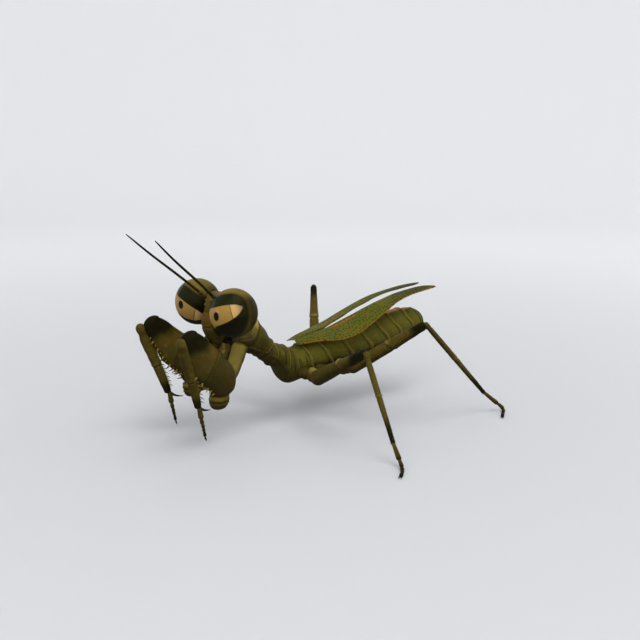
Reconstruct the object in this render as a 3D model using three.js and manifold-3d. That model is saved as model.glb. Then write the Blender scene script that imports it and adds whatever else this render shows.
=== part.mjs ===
// Praying mantis, adult female, standing on four legs with the grasping forelegs folded.
// Millimetres. +X is the insect's left, -Y is the way it faces, +Z is up, the feet rest on z = 0.
import * as THREE from 'three';
import { mergeVertices } from 'three/addons/utils/BufferGeometryUtils.js';
import Module from 'manifold-3d';

const wasm = await Module();
wasm.setup();

// The joint membranes of a living insect are thin, so neighbouring pieces stand this far apart.
const gap = 0.3;
// Facets nearer together than this are merged after the pieces are joined.
const fine = 0.01;

const colour = {
  shell: '#5c5423',
  leg: '#564c20',
  eye: '#6b6a38',
  wing: '#56702c',
  soft: '#4c4526',
  belly: '#6a6a2c',
};

// ---------- small helpers ----------

function along(list, u) {
  const x = Math.min(Math.max(u, 0), 1) * (list.length - 1);
  const i = Math.min(Math.floor(x), list.length - 2);
  const f = x - i;
  const s = f * f * (3 - 2 * f);
  return list[i] + (list[i + 1] - list[i]) * (0.5 * f + 0.5 * s);
}

function vec(p) {
  return new THREE.Vector3(p[0], p[1], p[2]);
}

function mix(a, b, f) {
  return a.map((value, i) => value + (b[i] - value) * f);
}

// A repeatable irregular number between -1 and 1 for the spines.
function uneven(seed) {
  const s = Math.sin(seed * 12.9898) * 43758.5453;
  return (s - Math.floor(s)) * 2 - 1;
}

function solidOf(geometry) {
  const bare = geometry.clone();
  bare.deleteAttribute('normal');
  bare.deleteAttribute('uv');
  const welded = mergeVertices(bare, 1e-4);
  const position = welded.attributes.position;
  const index = welded.index.array;
  const corners = [];
  let volume = 0;
  const a = new THREE.Vector3();
  const b = new THREE.Vector3();
  const c = new THREE.Vector3();
  for (let i = 0; i < index.length; i += 3) {
    const [p, q, r] = [index[i], index[i + 1], index[i + 2]];
    if (p === q || q === r || p === r) {
      continue;
    }
    corners.push(p, q, r);
    a.fromBufferAttribute(position, p);
    b.fromBufferAttribute(position, q);
    c.fromBufferAttribute(position, r);
    volume += a.dot(b.cross(c));
  }
  if (volume < 0) {
    corners.reverse();
  }
  return new wasm.Manifold(new wasm.Mesh({
    numProp: 3,
    vertProperties: Float32Array.from(position.array),
    triVerts: Uint32Array.from(corners),
  }));
}

function largest(solid) {
  const pieces = solid.decompose();
  pieces.sort((p, q) => q.volume() - p.volume());
  return pieces[0];
}

function joined(...solids) {
  return solids.reduce((sum, solid) => sum.add(solid));
}

// A body of elliptical section swept along a curve, closed by domes at both ends.
// wide and high are half sizes across and along `up`; grow makes the same body larger all round.
function limb({ path, wide, high = wide, up = [0, 0, 1], rings = 8, sides = 12,
  front = 1, back = 1, capRings = 2, grow = 0, form = null }) {
  const curve = new THREE.CatmullRomCurve3(path.map(vec), false, 'centripetal');
  const length = curve.getLength();
  const frontCap = front * Math.min(wide[0], high[0]) + grow;
  const backCap = back * Math.min(wide[wide.length - 1], high[high.length - 1]) + grow;
  const stations = [];
  for (let i = 0; i <= capRings; i += 1) {
    const turn = (i / capRings) * Math.PI / 2;
    stations.push([-grow + frontCap * (1 - Math.cos(turn)), Math.sin(turn)]);
  }
  const from = -grow + frontCap;
  const to = length + grow - backCap;
  for (let i = 1; i < rings; i += 1) {
    stations.push([from + (to - from) * i / rings, 1]);
  }
  for (let i = capRings; i >= 0; i -= 1) {
    const turn = (i / capRings) * Math.PI / 2;
    stations.push([length + grow - backCap * (1 - Math.cos(turn)), Math.sin(turn)]);
  }
  const profile = stations.map((station, i) => new THREE.Vector2(station[1], i));
  profile[0].x = 0;
  profile[profile.length - 1].x = 0;
  const geometry = new THREE.LatheGeometry(profile, sides);
  const position = geometry.attributes.position;
  const upward = vec(up);
  for (let i = 0; i < position.count; i += 1) {
    const s = stations[Math.round(position.getY(i))][0];
    const u = Math.min(Math.max(s / length, 0), 1);
    const centre = curve.getPointAt(u);
    const tangent = curve.getTangentAt(u);
    centre.addScaledVector(tangent, s - u * length);
    const across = new THREE.Vector3().crossVectors(tangent, upward).normalize();
    const over = new THREE.Vector3().crossVectors(across, tangent);
    let x = position.getX(i);
    let z = position.getZ(i);
    if (form) {
      const swell = form(Math.atan2(x, z), u);
      x *= swell;
      z *= swell;
    }
    centre.addScaledVector(across, x * (along(wide, u) + grow));
    centre.addScaledVector(over, z * (along(high, u) + grow));
    position.setXYZ(i, centre.x, centre.y, centre.z);
  }
  return solidOf(geometry);
}

function ball(centre, radii, { grow = 0, across = 20, down = 14 } = {}) {
  const geometry = new THREE.SphereGeometry(1, across, down);
  geometry.scale(radii[0] + grow, radii[1] + grow, radii[2] + grow);
  geometry.translate(centre[0], centre[1], centre[2]);
  return solidOf(geometry);
}

// One spine: a cone with its root sunk into the limb.
function spine(root, heading, length, radius, sink) {
  const reach = length + sink;
  const geometry = new THREE.ConeGeometry(radius, reach, 5, 1);
  geometry.translate(0, reach / 2 - sink, 0);
  const turn = new THREE.Quaternion();
  turn.setFromUnitVectors(new THREE.Vector3(0, 1, 0), vec(heading).normalize());
  geometry.applyQuaternion(turn);
  geometry.translate(root[0], root[1], root[2]);
  return solidOf(geometry);
}

const mantis = new THREE.Group();
mantis.name = 'praying_mantis';

function place(name, solid, tint) {
  const mesh = largest(solid).simplify(fine).getMesh();
  const geometry = new THREE.BufferGeometry();
  geometry.setAttribute('position', new THREE.BufferAttribute(mesh.vertProperties, 3));
  geometry.setIndex(new THREE.BufferAttribute(mesh.triVerts, 1));
  geometry.computeVertexNormals();
  const part = new THREE.Mesh(geometry, new THREE.MeshStandardMaterial({ color: tint }));
  part.name = name;
  mantis.add(part);
}

function placeBoth(stem, solid, tint) {
  place(`${stem}_left`, solid, tint);
  place(`${stem}_right`, solid.mirror([1, 0, 0]), tint);
}

// ---------- head ----------

const eyeCentre = [9.7, -34.7, 35.2];
const eyeRadii = [6.3, 6.3, 6.3];
const headTop = 39.4;
const headFoot = 24.6;

// The capsule is broad between the eyes and narrows to the mouth like a shield.
function headCapsule(grow = 0) {
  const halfWidth = [2.7, 3.0, 3.9, 5.0, 5.6, 5.6, 5.2];
  const halfDepth = [2.3, 2.9, 3.8, 4.4, 4.5, 4.2, 3.9];
  const middle = [-34.9, -34.9, -34.8, -34.5, -34.3, -34.2, -34.1];
  const geometry = new THREE.SphereGeometry(1, 22, 14);
  const position = geometry.attributes.position;
  for (let i = 0; i < position.count; i += 1) {
    const level = position.getY(i);
    const k = 0.5 + 0.5 * level;
    const round = Math.sqrt(Math.max(1 - level * level, 0));
    const squarer = round > 0 ? round ** 0.62 / round : 0;
    const x = position.getX(i) * squarer * (along(halfWidth, k) + grow);
    const y = -position.getZ(i) * squarer * (along(halfDepth, k) + grow);
    const height = headTop - headFoot + 2 * grow;
    position.setXYZ(i, x, y + along(middle, k), headFoot - grow + height * k);
  }
  return solidOf(geometry);
}

const eyeFacets = { across: 20, down: 12 };
const eyeSocket = ball(eyeCentre, eyeRadii, { grow: gap, ...eyeFacets });
const eyeSockets = joined(eyeSocket, eyeSocket.mirror([1, 0, 0]));
const ocellus = 0.45;
const ocelli = joined(
  ball([0, -38.25, 36.3], [ocellus, ocellus, ocellus], { across: 6, down: 4 }),
  ball([1.0, -38.1, 37.3], [ocellus, ocellus, ocellus], { across: 6, down: 4 }),
  ball([-1.0, -38.1, 37.3], [ocellus, ocellus, ocellus], { across: 6, down: 4 }),
);
const head = joined(headCapsule(), ocelli).subtract(eyeSockets);
const headRoom = headCapsule(gap);
place('head', head, colour.shell);

const eye = ball(eyeCentre, eyeRadii, eyeFacets);
placeBoth('eye', eye, colour.eye);

// The feeler: a stout first joint, a short second one and a long whip.
const feelerRoot = [3.3, -36.4, 38.2];
const feelerTip = [8.5, -55.6, 55.5];
const feeler = limb({
  path: [feelerRoot, mix(feelerRoot, feelerTip, 0.5), feelerTip],
  wide: [0.8, 0.42, 0.36, 0.34, 0.32, 0.3, 0.28, 0.24, 0.12],
  rings: 14,
  sides: 8,
});
placeBoth('antenna', feeler.subtract(headRoom), colour.leg);

// Upper lip, a plate hanging from the front of the face.
const lipSize = { wide: 1.5, deep: 0.5 };
function upperLip(grow) {
  return limb({
    path: [[0, -38.1, 27.2], [0, -37.6, 25.6], [0, -36.5, 24.1]],
    wide: [1.2, lipSize.wide, 1.1],
    high: [lipSize.deep, lipSize.deep, 0.4],
    up: [0, -1, 0],
    rings: 4,
    grow,
  });
}
place('labrum', upperLip(0).subtract(headRoom), colour.shell);

// Jaws, one on each side under the cheeks.
function jaw(grow) {
  return limb({
    path: [[2.5, -35.3, 27.0], [2.0, -35.9, 24.9], [0.95, -35.9, 23.7]],
    wide: [1.1, 0.9, 0.5],
    high: [1.4, 1.2, 0.6],
    up: [0, -1, 0],
    rings: 3,
    sides: 8,
    grow,
  });
}
placeBoth('mandible', jaw(0).subtract(headRoom).subtract(upperLip(gap)), colour.leg);

// The longer pair of mouth feelers, jointed, hanging behind the jaws.
const palpPath = [[2.2, -33.9, 25.3], [2.6, -33.8, 23.6], [2.9, -35.4, 22.6], [2.3, -36.9, 22.9]];
const palp = limb({
  path: palpPath,
  wide: [0.45, 0.38, 0.42, 0.34, 0.4, 0.2],
  rings: 7,
  sides: 6,
});
placeBoth('palp', palp.subtract(headRoom).subtract(jaw(gap)), colour.soft);

// ---------- neck and thorax ----------

// The fore body rises from the middle body and widens where the grasping legs hang from it.
const chestPath = [[0, -31.0, 25.6], [0, -28.6, 25.8], [0, -25.0, 25.2], [0, -21.0, 22.7],
  [0, -17.0, 19.0]];
function chest(grow, extra = 0) {
  const swell = grow + extra;
  return limb({
    path: chestPath,
    wide: [3.0, 4.1, 3.8, 3.2, 2.8],
    high: [2.4, 3.3, 3.5, 3.0, 2.5],
    rings: 7,
    sides: 18,
    grow: swell,
  });
}

const middlePath = [[0, -17.3, 19.4], [0, -15.0, 17.9], [0, -12.2, 16.4], [0, -8.7, 16.1]];
function middleBody(grow) {
  return limb({
    path: middlePath,
    wide: [2.9, 4.6, 5.1, 5.2],
    high: [2.4, 4.5, 5.8, 5.9],
    front: 0.8,
    back: 0.12,
    rings: 5,
    sides: 22,
    grow,
  });
}

const hindPath = [[0, -8.4, 16.2], [0, -5.2, 16.6]];
function hindBody(grow) {
  return limb({
    path: hindPath,
    wide: [5.1, 5.3],
    high: [5.9, 5.5],
    front: 0.12,
    back: 0.12,
    capRings: 2,
    rings: 2,
    sides: 22,
    grow,
  });
}

function neckTube(grow) {
  return limb({
    path: [[0, -31.6, 31.2], [0, -29.6, 29.6], [0, -27.4, 27.4]],
    wide: [2.7, 2.6, 2.8],
    rings: 4,
    sides: 16,
    grow,
  });
}

// The saddle-shaped shield over the fore body, flared along its lower edges.
const shieldThick = 0.8;
function shield() {
  const outer = limb({
    path: [[0, -29.9, 26.5], [0, -27.2, 26.8], [0, -24.0, 26.0], [0, -20.8, 23.2], [0, -17.6, 20.0]],
    wide: [4.3, 4.9, 4.8, 4.1, 3.6],
    high: [4.1, 4.4, 4.2, 3.5, 2.9],
    front: 0.35,
    back: 0.3,
    rings: 7,
    sides: 18,
    form: (angle) => 1 + 0.05 * Math.exp(-(((Math.abs(angle) - 1.75) / 0.3) ** 2)),
  });
  const hollow = chest(gap, 0);
  const below = new THREE.BoxGeometry(20, 26, 20);
  const slant = Math.atan2(chestPath[3][2] - chestPath[1][2], chestPath[3][1] - chestPath[1][1]);
  below.translate(0, 0, -10);
  below.rotateX(slant);
  below.translate(0, -23.2, 22.1);
  const frontCut = limb({
    path: [[0, -34, 33.6], [0, -30.0, 29.2]],
    wide: [4.6, 4.2],
    rings: 2,
    sides: 20,
  });
  return outer.subtract(hollow).subtract(solidOf(below)).subtract(frontCut);
}

const pronotum = shield()
  .subtract(neckTube(gap))
  .subtract(headRoom)
  .subtract(eyeSockets)
  .subtract(middleBody(gap));
place('neck', neckTube(0).subtract(headRoom).subtract(chest(gap)), colour.soft);
place('pronotum', pronotum, colour.shell);
place('prothorax', chest(0).subtract(middleBody(gap)), colour.soft);
place('mesothorax', middleBody(0).subtract(hindBody(gap)), colour.shell);

// ---------- abdomen ----------

const bellyPath = [[0, -5.2, 16.8], [0, 2.6, 17.5], [0, 9.3, 18.4], [0, 16.3, 19.3],
  [0, 22.9, 20.5], [0, 28.4, 21.4], [0, 33.5, 22.3], [0, 40.2, 22.9]];
const bellyEnds = [-4.9, 2.6, 9.3, 16.3, 22.9, 28.4, 33.2, 37.0, 40.2];
const bellyCurve = new THREE.CatmullRomCurve3(bellyPath.map(vec), false, 'centripetal');
const bellyLength = bellyCurve.getLength();
const bellyWide = [5.0, 5.5, 5.9, 6.0, 5.8, 5.5, 5.0, 4.4, 2.6];
const bellyHigh = [5.2, 5.6, 5.8, 5.8, 5.7, 5.5, 5.2, 4.6, 2.6];

function bellyAt(y) {
  let [low, high] = [0, 1];
  for (let i = 0; i < 30; i += 1) {
    const guess = (low + high) / 2;
    if (bellyCurve.getPointAt(guess).y < y) {
      low = guess;
    } else {
      high = guess;
    }
  }
  return low;
}

// One ring of the abdomen: narrow in front, flared to a lip behind, flat underneath.
function bellyRing(start, end, last) {
  const from = bellyAt(start) * bellyLength + gap / 2;
  const to = bellyAt(end) * bellyLength - gap / 2;
  const span = to - from;
  const rings = last
    ? [[0, 0], [0, 0.9], [0.12, 0.98], [0.35, 0.96], [0.6, 0.84], [0.8, 0.64], [0.94, 0.36], [1, 0]]
    : [[0, 0], [0, 0.9], [0.08, 0.94], [0.45, 0.985], [0.86, 1.0], [0.93, 1.035], [0.985, 1.03],
      [1, 0.97], [1, 0]];
  const profile = rings.map((ring, i) => new THREE.Vector2(ring[1], i));
  const geometry = new THREE.LatheGeometry(profile, 18);
  const position = geometry.attributes.position;
  for (let i = 0; i < position.count; i += 1) {
    const s = from + span * rings[Math.round(position.getY(i))][0];
    const u = s / bellyLength;
    const centre = bellyCurve.getPointAt(u);
    const x = position.getX(i);
    const z = position.getZ(i);
    const flat = z < 0 ? 0.88 : 1;
    const y = centre.y - z * 0.12 * along(bellyHigh, u);
    position.setXYZ(i, x * along(bellyWide, u), y, centre.z + z * flat * along(bellyHigh, u));
  }
  return solidOf(geometry);
}

place('metathorax', hindBody(0), colour.shell);
for (let i = 0; i + 1 < bellyEnds.length; i += 1) {
  const last = i + 2 === bellyEnds.length;
  place(`abdomen_${i + 1}`, bellyRing(bellyEnds[i], bellyEnds[i + 1], last), colour.belly);
}

// The room that the whole abdomen takes up, for trimming what lies against it.
const bellyRoom = limb({
  path: bellyPath,
  wide: bellyWide,
  high: bellyHigh,
  front: 0.1,
  rings: 12,
  sides: 22,
  grow: gap * 1.9,
});

// Tail feelers beside the last ring.
const tailFeeler = limb({
  path: [[2.7, 38.0, 23.8], [3.4, 39.2, 24.2], [3.7, 40.6, 24.5]],
  wide: [0.5, 0.5, 0.42, 0.2],
  rings: 5,
  sides: 6,
});
placeBoth('cercus', tailFeeler.subtract(bellyRoom), colour.leg);

// ---------- wings ----------

const wingInner = [[1.9, -9.8, 22.7], [1.6, -4.0, 24.0], [1.5, 1.5, 24.7], [1.3, 7.0, 26.3],
  [1.3, 14.0, 28.9], [1.2, 20.5, 31.0], [1.1, 27.1, 32.6], [1.2, 33.0, 33.5], [1.9, 38.4, 34.0],
  [3.5, 41.8, 34.1]];
const wingOuter = [[2.9, -10.1, 22.3], [5.6, -3.7, 22.5], [8.4, 2.0, 22.8], [9.2, 7.3, 23.9],
  [8.8, 12.3, 26.0], [7.7, 19.0, 28.9], [6.4, 24.5, 30.9], [5.5, 30.0, 32.2], [5.1, 36.6, 33.0],
  [4.3, 41.9, 33.5]];

// Long veins of the fore wing as places across its width, from inner edge to outer edge.
const wingVeins = [0.2, 0.44, 0.66, 0.88];
const hindVeins = [0.25, 0.5, 0.75];
const veinHalf = 0.035;
const veinRise = 0.22;

function blade({ drop, inset, from, to, thick, rows, veins, arch }) {
  const inner = new THREE.CatmullRomCurve3(wingInner.map(vec), false, 'centripetal');
  const outer = new THREE.CatmullRomCurve3(wingOuter.map(vec), false, 'centripetal');
  const columns = [0];
  const rise = [0];
  for (const vein of veins) {
    columns.push(vein - veinHalf, vein, vein + veinHalf);
    rise.push(0, veinRise, 0);
  }
  columns.push(1);
  rise.push(0);
  const count = columns.length;
  const top = [];
  const under = [];
  for (let i = 0; i <= rows; i += 1) {
    const u = from + (to - from) * i / rows;
    const a = inner.getPointAt(u);
    const b = outer.getPointAt(u);
    const chord = b.clone().sub(a);
    const ahead = inner.getTangentAt(u).add(outer.getTangentAt(u));
    const normal = new THREE.Vector3().crossVectors(chord, ahead).normalize();
    const width = chord.length();
    for (let j = 0; j < count; j += 1) {
      const v = inset + (1 - 2 * inset) * columns[j];
      const point = a.clone().addScaledVector(chord, v);
      point.addScaledVector(normal, arch * width * Math.sin(Math.PI * v) - drop);
      const fade = Math.min(1, (rows - i) / 2, i / 1.5);
      top.push(point.clone().addScaledVector(normal, thick / 2 + rise[j] * fade));
      under.push(point.clone().addScaledVector(normal, -thick / 2));
    }
  }
  const geometry = new THREE.BufferGeometry().setFromPoints([...top, ...under]);
  const below = top.length;
  const index = [];
  const quad = (a, b, c, d) => index.push(a, b, c, a, c, d);
  for (let i = 0; i < rows; i += 1) {
    for (let j = 0; j + 1 < count; j += 1) {
      const a = i * count + j;
      quad(a, a + 1, a + count + 1, a + count);
      const [p, q, r, s] = [a, a + count, a + count + 1, a + 1].map((k) => k + below);
      index.push(p, r, s, p, q, r);
    }
    const [left, right] = [i * count, i * count + count - 1];
    quad(left, left + count, left + count + below, left + below);
    quad(right, right + below, right + count + below, right + count);
  }
  for (let j = 0; j + 1 < count; j += 1) {
    const near = rows * count + j;
    quad(j, j + below, j + 1 + below, j + 1);
    quad(near, near + 1, near + 1 + below, near + below);
  }
  geometry.setIndex(index);
  return solidOf(geometry);
}

const foreWing = blade({ drop: 0, inset: 0, from: 0, to: 1, thick: 0.55, rows: 13,
  veins: wingVeins, arch: 0.05 });
const hindWing = blade({ drop: 0.88, inset: 0.12, from: 0.08, to: 0.72, thick: 0.5, rows: 10,
  veins: hindVeins, arch: 0.05 });
const trunkRoom = joined(middleBody(gap), hindBody(gap), bellyRoom);
placeBoth('forewing', foreWing.subtract(trunkRoom), colour.wing);
placeBoth('hindwing', hindWing.subtract(trunkRoom), colour.wing);

// ---------- grasping forelegs ----------

function spineRow({ count, at, toward, length, radius, sink, seed }) {
  const spines = [];
  for (let i = 0; i < count; i += 1) {
    const f = count > 1 ? i / (count - 1) : 0.5;
    const [root, heading] = [at(f), toward(f)];
    const size = length(f, i) * (1 + 0.12 * uneven(seed + i));
    spines.push(spine(root, heading, size, radius, sink));
  }
  return joined(...spines);
}

function foreCoxa(grow) {
  return limb({
    path: [[4.7, -29.6, 25.4], [4.4, -31.4, 19.6], [4.6, -34.6, 13.8]],
    wide: [1.9, 1.8, 1.5],
    high: [2.2, 2.0, 1.6],
    up: [0, -1, 0],
    rings: 6,
    sides: 14,
    grow,
  });
}

// A short barrel under the thigh, with a lobe that reaches back to the hip piece.
function trochanter(grow) {
  const barrel = limb({
    path: [[7.0, -38.0, 9.3], [7.3, -38.3, 11.2], [7.6, -38.4, 13.4]],
    wide: [1.9, 2.2, 2.2],
    high: [2.2, 2.8, 2.8],
    up: [0, -1, 0],
    front: 0.5,
    back: 0.3,
    rings: 2,
    sides: 10,
    grow,
  });
  const lobe = limb({
    path: [[4.9, -35.4, 12.9], [7.0, -37.6, 11.8]],
    wide: [1.5, 1.8],
    high: [1.6, 2.0],
    rings: 2,
    sides: 8,
    grow,
  });
  return joined(barrel, lobe);
}

// The thigh is deepest near its base and tapers to the knee.
const thighPath = [[7.7, -37.9, 12.6], [8.4, -38.9, 17.2], [9.5, -42.1, 22.3], [10.4, -45.5, 27.3],
  [11.2, -48.6, 32.2]];
const thighWide = [1.7, 2.5, 2.6, 2.1, 1.5];
const thighHigh = [2.6, 4.1, 4.0, 3.0, 1.8];
// The spines of both long joints stand along this direction, forward and down.
const graspUp = [0, -1, -0.6];
function thigh(grow) {
  return limb({
    path: thighPath,
    wide: thighWide,
    high: thighHigh,
    up: graspUp,
    rings: 8,
    sides: 14,
    grow,
  });
}

const shankPath = [[11.2, -51.6, 31.2], [11.2, -50.6, 28.6], [10.2, -48.4, 22.6],
  [9.1, -46.3, 16.2], [8.5, -44.9, 11.0]];
const shankWide = [1.2, 1.4, 1.15, 1.0, 0.8];
const shankHigh = [1.5, 1.75, 1.45, 1.25, 0.95];
function shank(grow) {
  return limb({
    path: shankPath,
    wide: shankWide,
    high: shankHigh,
    up: graspUp,
    rings: 7,
    sides: 10,
    grow,
  });
}

// The end of the shank carries one strong hooked claw.
const shankClaw = limb({
  path: [[8.6, -45.6, 12.6], [8.4, -44.2, 10.3], [7.9, -42.3, 9.5], [7.6, -40.9, 9.9]],
  wide: [0.8, 0.75, 0.5, 0.12],
  rings: 6,
  sides: 8,
});

const thighCurve = new THREE.CatmullRomCurve3(thighPath.map(vec), false, 'centripetal');
const shankCurve = new THREE.CatmullRomCurve3(shankPath.map(vec), false, 'centripetal');

// A point on a leg joint: u along it, `out` as a share of its depth, then sideways in millimetres.
function onJoint(curve, high, u, out, sideways) {
  const centre = curve.getPointAt(u);
  const tangent = curve.getTangentAt(u);
  const across = new THREE.Vector3().crossVectors(tangent, vec(graspUp)).normalize();
  const over = new THREE.Vector3().crossVectors(across, tangent);
  centre.addScaledVector(over, out * along(high, u)).addScaledVector(across, sideways);
  return centre.toArray();
}

const onThigh = (f, sideways) => onJoint(thighCurve, thighHigh, 0.16 + 0.66 * f, 0.86, sideways);
const onShank = (f, sideways) => onJoint(shankCurve, shankHigh, 0.2 + 0.66 * f, -0.8, sideways);

const outerThighSpines = spineRow({
  count: 4,
  at: (f) => onThigh(f * 0.8, 1.5),
  toward: () => [0.35, -0.9, -0.5],
  length: () => 2.1,
  radius: 0.38,
  sink: 1.2,
  seed: 3,
});
const innerThighSpines = spineRow({
  count: 7,
  at: (f) => onThigh(f, -1.5),
  toward: () => [-0.35, -0.9, -0.5],
  length: (f, i) => (i % 2 ? 1.2 : 1.8),
  radius: 0.33,
  sink: 1.2,
  seed: 11,
});
const shankSpines = spineRow({
  count: 7,
  at: (f) => onShank(f, 0.55),
  toward: () => [0.25, 0.85, -0.55],
  length: (f) => 0.8 + 0.7 * f,
  radius: 0.28,
  sink: 0.7,
  seed: 23,
}).add(spineRow({
  count: 7,
  at: (f) => onShank(f + 0.03, -0.55),
  toward: () => [-0.25, 0.85, -0.55],
  length: (f) => 0.8 + 0.7 * f,
  radius: 0.28,
  sink: 0.7,
  seed: 37,
}));

// Five tapering joints in a row, then two small claws.
function foot({ path, radius, tipRadius, sides = 6 }) {
  const curve = new THREE.CatmullRomCurve3(path.map(vec), false, 'centripetal');
  const cuts = [0, 0.4, 0.57, 0.7, 0.8, 1];
  const joints = [];
  for (let i = 0; i < 5; i += 1) {
    const [a, b] = [cuts[i], Math.min(cuts[i + 1] + 0.02, 1)];
    const size = radius + (tipRadius - radius) * cuts[i];
    joints.push(limb({
      path: [curve.getPointAt(a).toArray(), curve.getPointAt((a + b) / 2).toArray(),
        curve.getPointAt(b).toArray()],
      wide: [size * 0.78, size * 0.86, size],
      high: [size * 0.78, size * 0.86, size],
      rings: 1,
      capRings: 1,
      sides,
    }));
  }
  const end = curve.getPointAt(1);
  const ahead = curve.getTangentAt(1);
  const level = new THREE.Vector3().crossVectors(ahead, vec([0, 0, 1])).normalize();
  for (const turn of [-0.55, 0.55]) {
    const heading = ahead.clone().addScaledVector(level, turn);
    joints.push(spine(end.toArray(), heading.toArray(), tipRadius * 3.2, tipRadius * 0.7, 0.5));
  }
  return joined(...joints);
}

const ground = (solid) => solid.trimByPlane([0, 0, 1], 0);

const foreFoot = foot({
  path: [[8.5, -44.9, 10.8], [8.5, -44.4, 7.6], [8.5, -43.9, 4.6], [8.45, -43.5, 2.2]],
  radius: 0.5,
  tipRadius: 0.36,
});

const coxaSolid = foreCoxa(0).subtract(chest(gap)).subtract(headRoom);
const knobSolid = trochanter(0).subtract(foreCoxa(gap)).subtract(thigh(gap));
const thighSolid = joined(thigh(0), outerThighSpines, innerThighSpines).subtract(shank(gap));
const shankSolid = joined(shank(0), shankClaw, shankSpines).subtract(thigh(gap));
placeBoth('fore_coxa', coxaSolid.subtract(thigh(gap)), colour.leg);
placeBoth('fore_trochanter', knobSolid, colour.leg);
placeBoth('fore_femur', thighSolid, colour.leg);
placeBoth('fore_tibia', shankSolid.subtract(thighSolid), colour.leg);
placeBoth('fore_tarsus', foreFoot.subtract(joined(shank(gap), shankClaw)), colour.leg);

// ---------- walking legs ----------

const stance = {
  mid_left: {
    root: [3.9, -10.6, 14.6],
    bend: [8.3, -8.9, 13.8],
    base: [9.3, -8.45, 13.2],
    knee: [34.3, -10.3, 26.2],
    ankle: [45.5, -10.3, 4.9],
    sole: [[48.6, -10.6, 0.75], [51.6, -13.2, 0.42], [54.2, -15.4, 0.4]],
  },
  mid_right: {
    root: [-3.9, -10.6, 14.6],
    bend: [-8.3, -8.9, 13.8],
    base: [-9.3, -8.45, 13.2],
    knee: [-34.3, -10.3, 26.2],
    ankle: [-41.5, -8.0, 3.6],
    sole: [[-42.3, -10.4, 0.75], [-43.8, -13.8, 0.42], [-45.0, -17.2, 0.4]],
  },
  hind_left: {
    root: [4.2, -5.4, 14.0],
    bend: [8.2, 2.3, 13.6],
    base: [9.0, 3.9, 13.7],
    knee: [27.3, 16.5, 28.9],
    ankle: [29.9, 38.0, 5.9],
    sole: [[31.6, 43.0, 0.75], [34.4, 41.0, 0.42], [37.0, 38.5, 0.4]],
  },
  hind_right: {
    root: [-4.2, -5.4, 14.0],
    bend: [-8.2, 2.3, 13.6],
    base: [-9.0, 3.9, 13.7],
    knee: [-28.0, 17.3, 30.9],
    ankle: [-30.8, 20.8, 3.6],
    sole: [[-32.8, 22.6, 0.75], [-36.2, 24.4, 0.42], [-39.4, 25.8, 0.4]],
  },
};

const bulk = {
  mid: { coxa: 1.8, thigh: [2.3, 2.2, 1.9, 1.5, 1.45], shank: [1.15, 0.95, 0.85, 0.75, 0.65] },
  hind: { coxa: 1.8, thigh: [2.0, 1.85, 1.65, 1.3, 1.3], shank: [1.05, 0.85, 0.75, 0.68, 0.6] },
};

for (const [name, leg] of Object.entries(stance)) {
  const [pair, side] = name.split('_');
  const size = bulk[pair];
  const coxa = (grow) => limb({
    path: [leg.root, mix(leg.root, leg.bend, 0.5), leg.bend],
    wide: [size.coxa, size.coxa * 1.02, size.coxa * 0.9],
    rings: 3,
    sides: 12,
    grow,
  });
  const femur = (grow) => limb({
    path: [leg.base, mix(leg.base, leg.knee, 0.5), leg.knee],
    wide: size.thigh,
    rings: 6,
    sides: 12,
    grow,
  });
  const drop = mix(leg.knee, leg.ankle, 0.5);
  const tibia = (grow) => limb({
    path: [mix(leg.knee, leg.ankle, -0.02), drop, leg.ankle],
    wide: size.shank,
    up: [0, 1, 0.3],
    rings: 5,
    sides: 8,
    grow,
  });
  const tarsus = foot({ path: [leg.ankle, ...leg.sole], radius: 0.58, tipRadius: 0.48 });
  place(`${pair}_coxa_${side}`, coxa(0).subtract(trunkRoom), colour.leg);
  place(`${pair}_femur_${side}`, femur(0).subtract(coxa(gap)).subtract(trunkRoom), colour.leg);
  place(`${pair}_tibia_${side}`, tibia(0).subtract(femur(gap)), colour.leg);
  place(`${pair}_tarsus_${side}`, ground(tarsus).subtract(tibia(gap)), colour.leg);
}

// The origin lies on the floor under the middle of the box that holds the whole insect.
const shift = { x: -4.8, y: 6.1 };
mantis.position.set(shift.x, shift.y, 0);

export default mantis;
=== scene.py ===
import math
import bpy
import numpy as np
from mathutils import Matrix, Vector


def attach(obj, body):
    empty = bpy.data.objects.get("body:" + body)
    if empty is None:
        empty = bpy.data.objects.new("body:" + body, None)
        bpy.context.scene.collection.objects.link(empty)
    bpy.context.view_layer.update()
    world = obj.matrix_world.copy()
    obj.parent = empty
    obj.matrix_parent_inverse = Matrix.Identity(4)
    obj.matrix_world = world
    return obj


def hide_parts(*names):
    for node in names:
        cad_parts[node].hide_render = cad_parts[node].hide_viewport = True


# Praying mantis, adult female. Lengths are in millimetres until toFrame turns them into metres.
# +X is its left, -Y is the way it faces, and it stands on the floor at 0.
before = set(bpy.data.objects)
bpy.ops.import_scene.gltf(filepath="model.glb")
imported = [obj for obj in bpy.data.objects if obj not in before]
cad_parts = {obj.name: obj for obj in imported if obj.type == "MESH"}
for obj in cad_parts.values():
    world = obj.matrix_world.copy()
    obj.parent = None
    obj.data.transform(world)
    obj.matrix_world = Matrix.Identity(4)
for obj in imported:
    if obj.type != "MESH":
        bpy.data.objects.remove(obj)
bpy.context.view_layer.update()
bodyShift = np.array([-4.8, 6.1, 0.0])  # centres the whole insect over the origin
millimetre = 0.001


def toFrame(points):
    return (np.asarray(points, float) + bodyShift) * millimetre


def rise(x, low, high):
    t = np.clip((np.asarray(x, float) - low) / (high - low), 0, 1)
    return t * t * (3 - 2 * t)


def bell(x, centre, width):
    return np.exp(-((x - centre) / width) ** 2)


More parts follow.
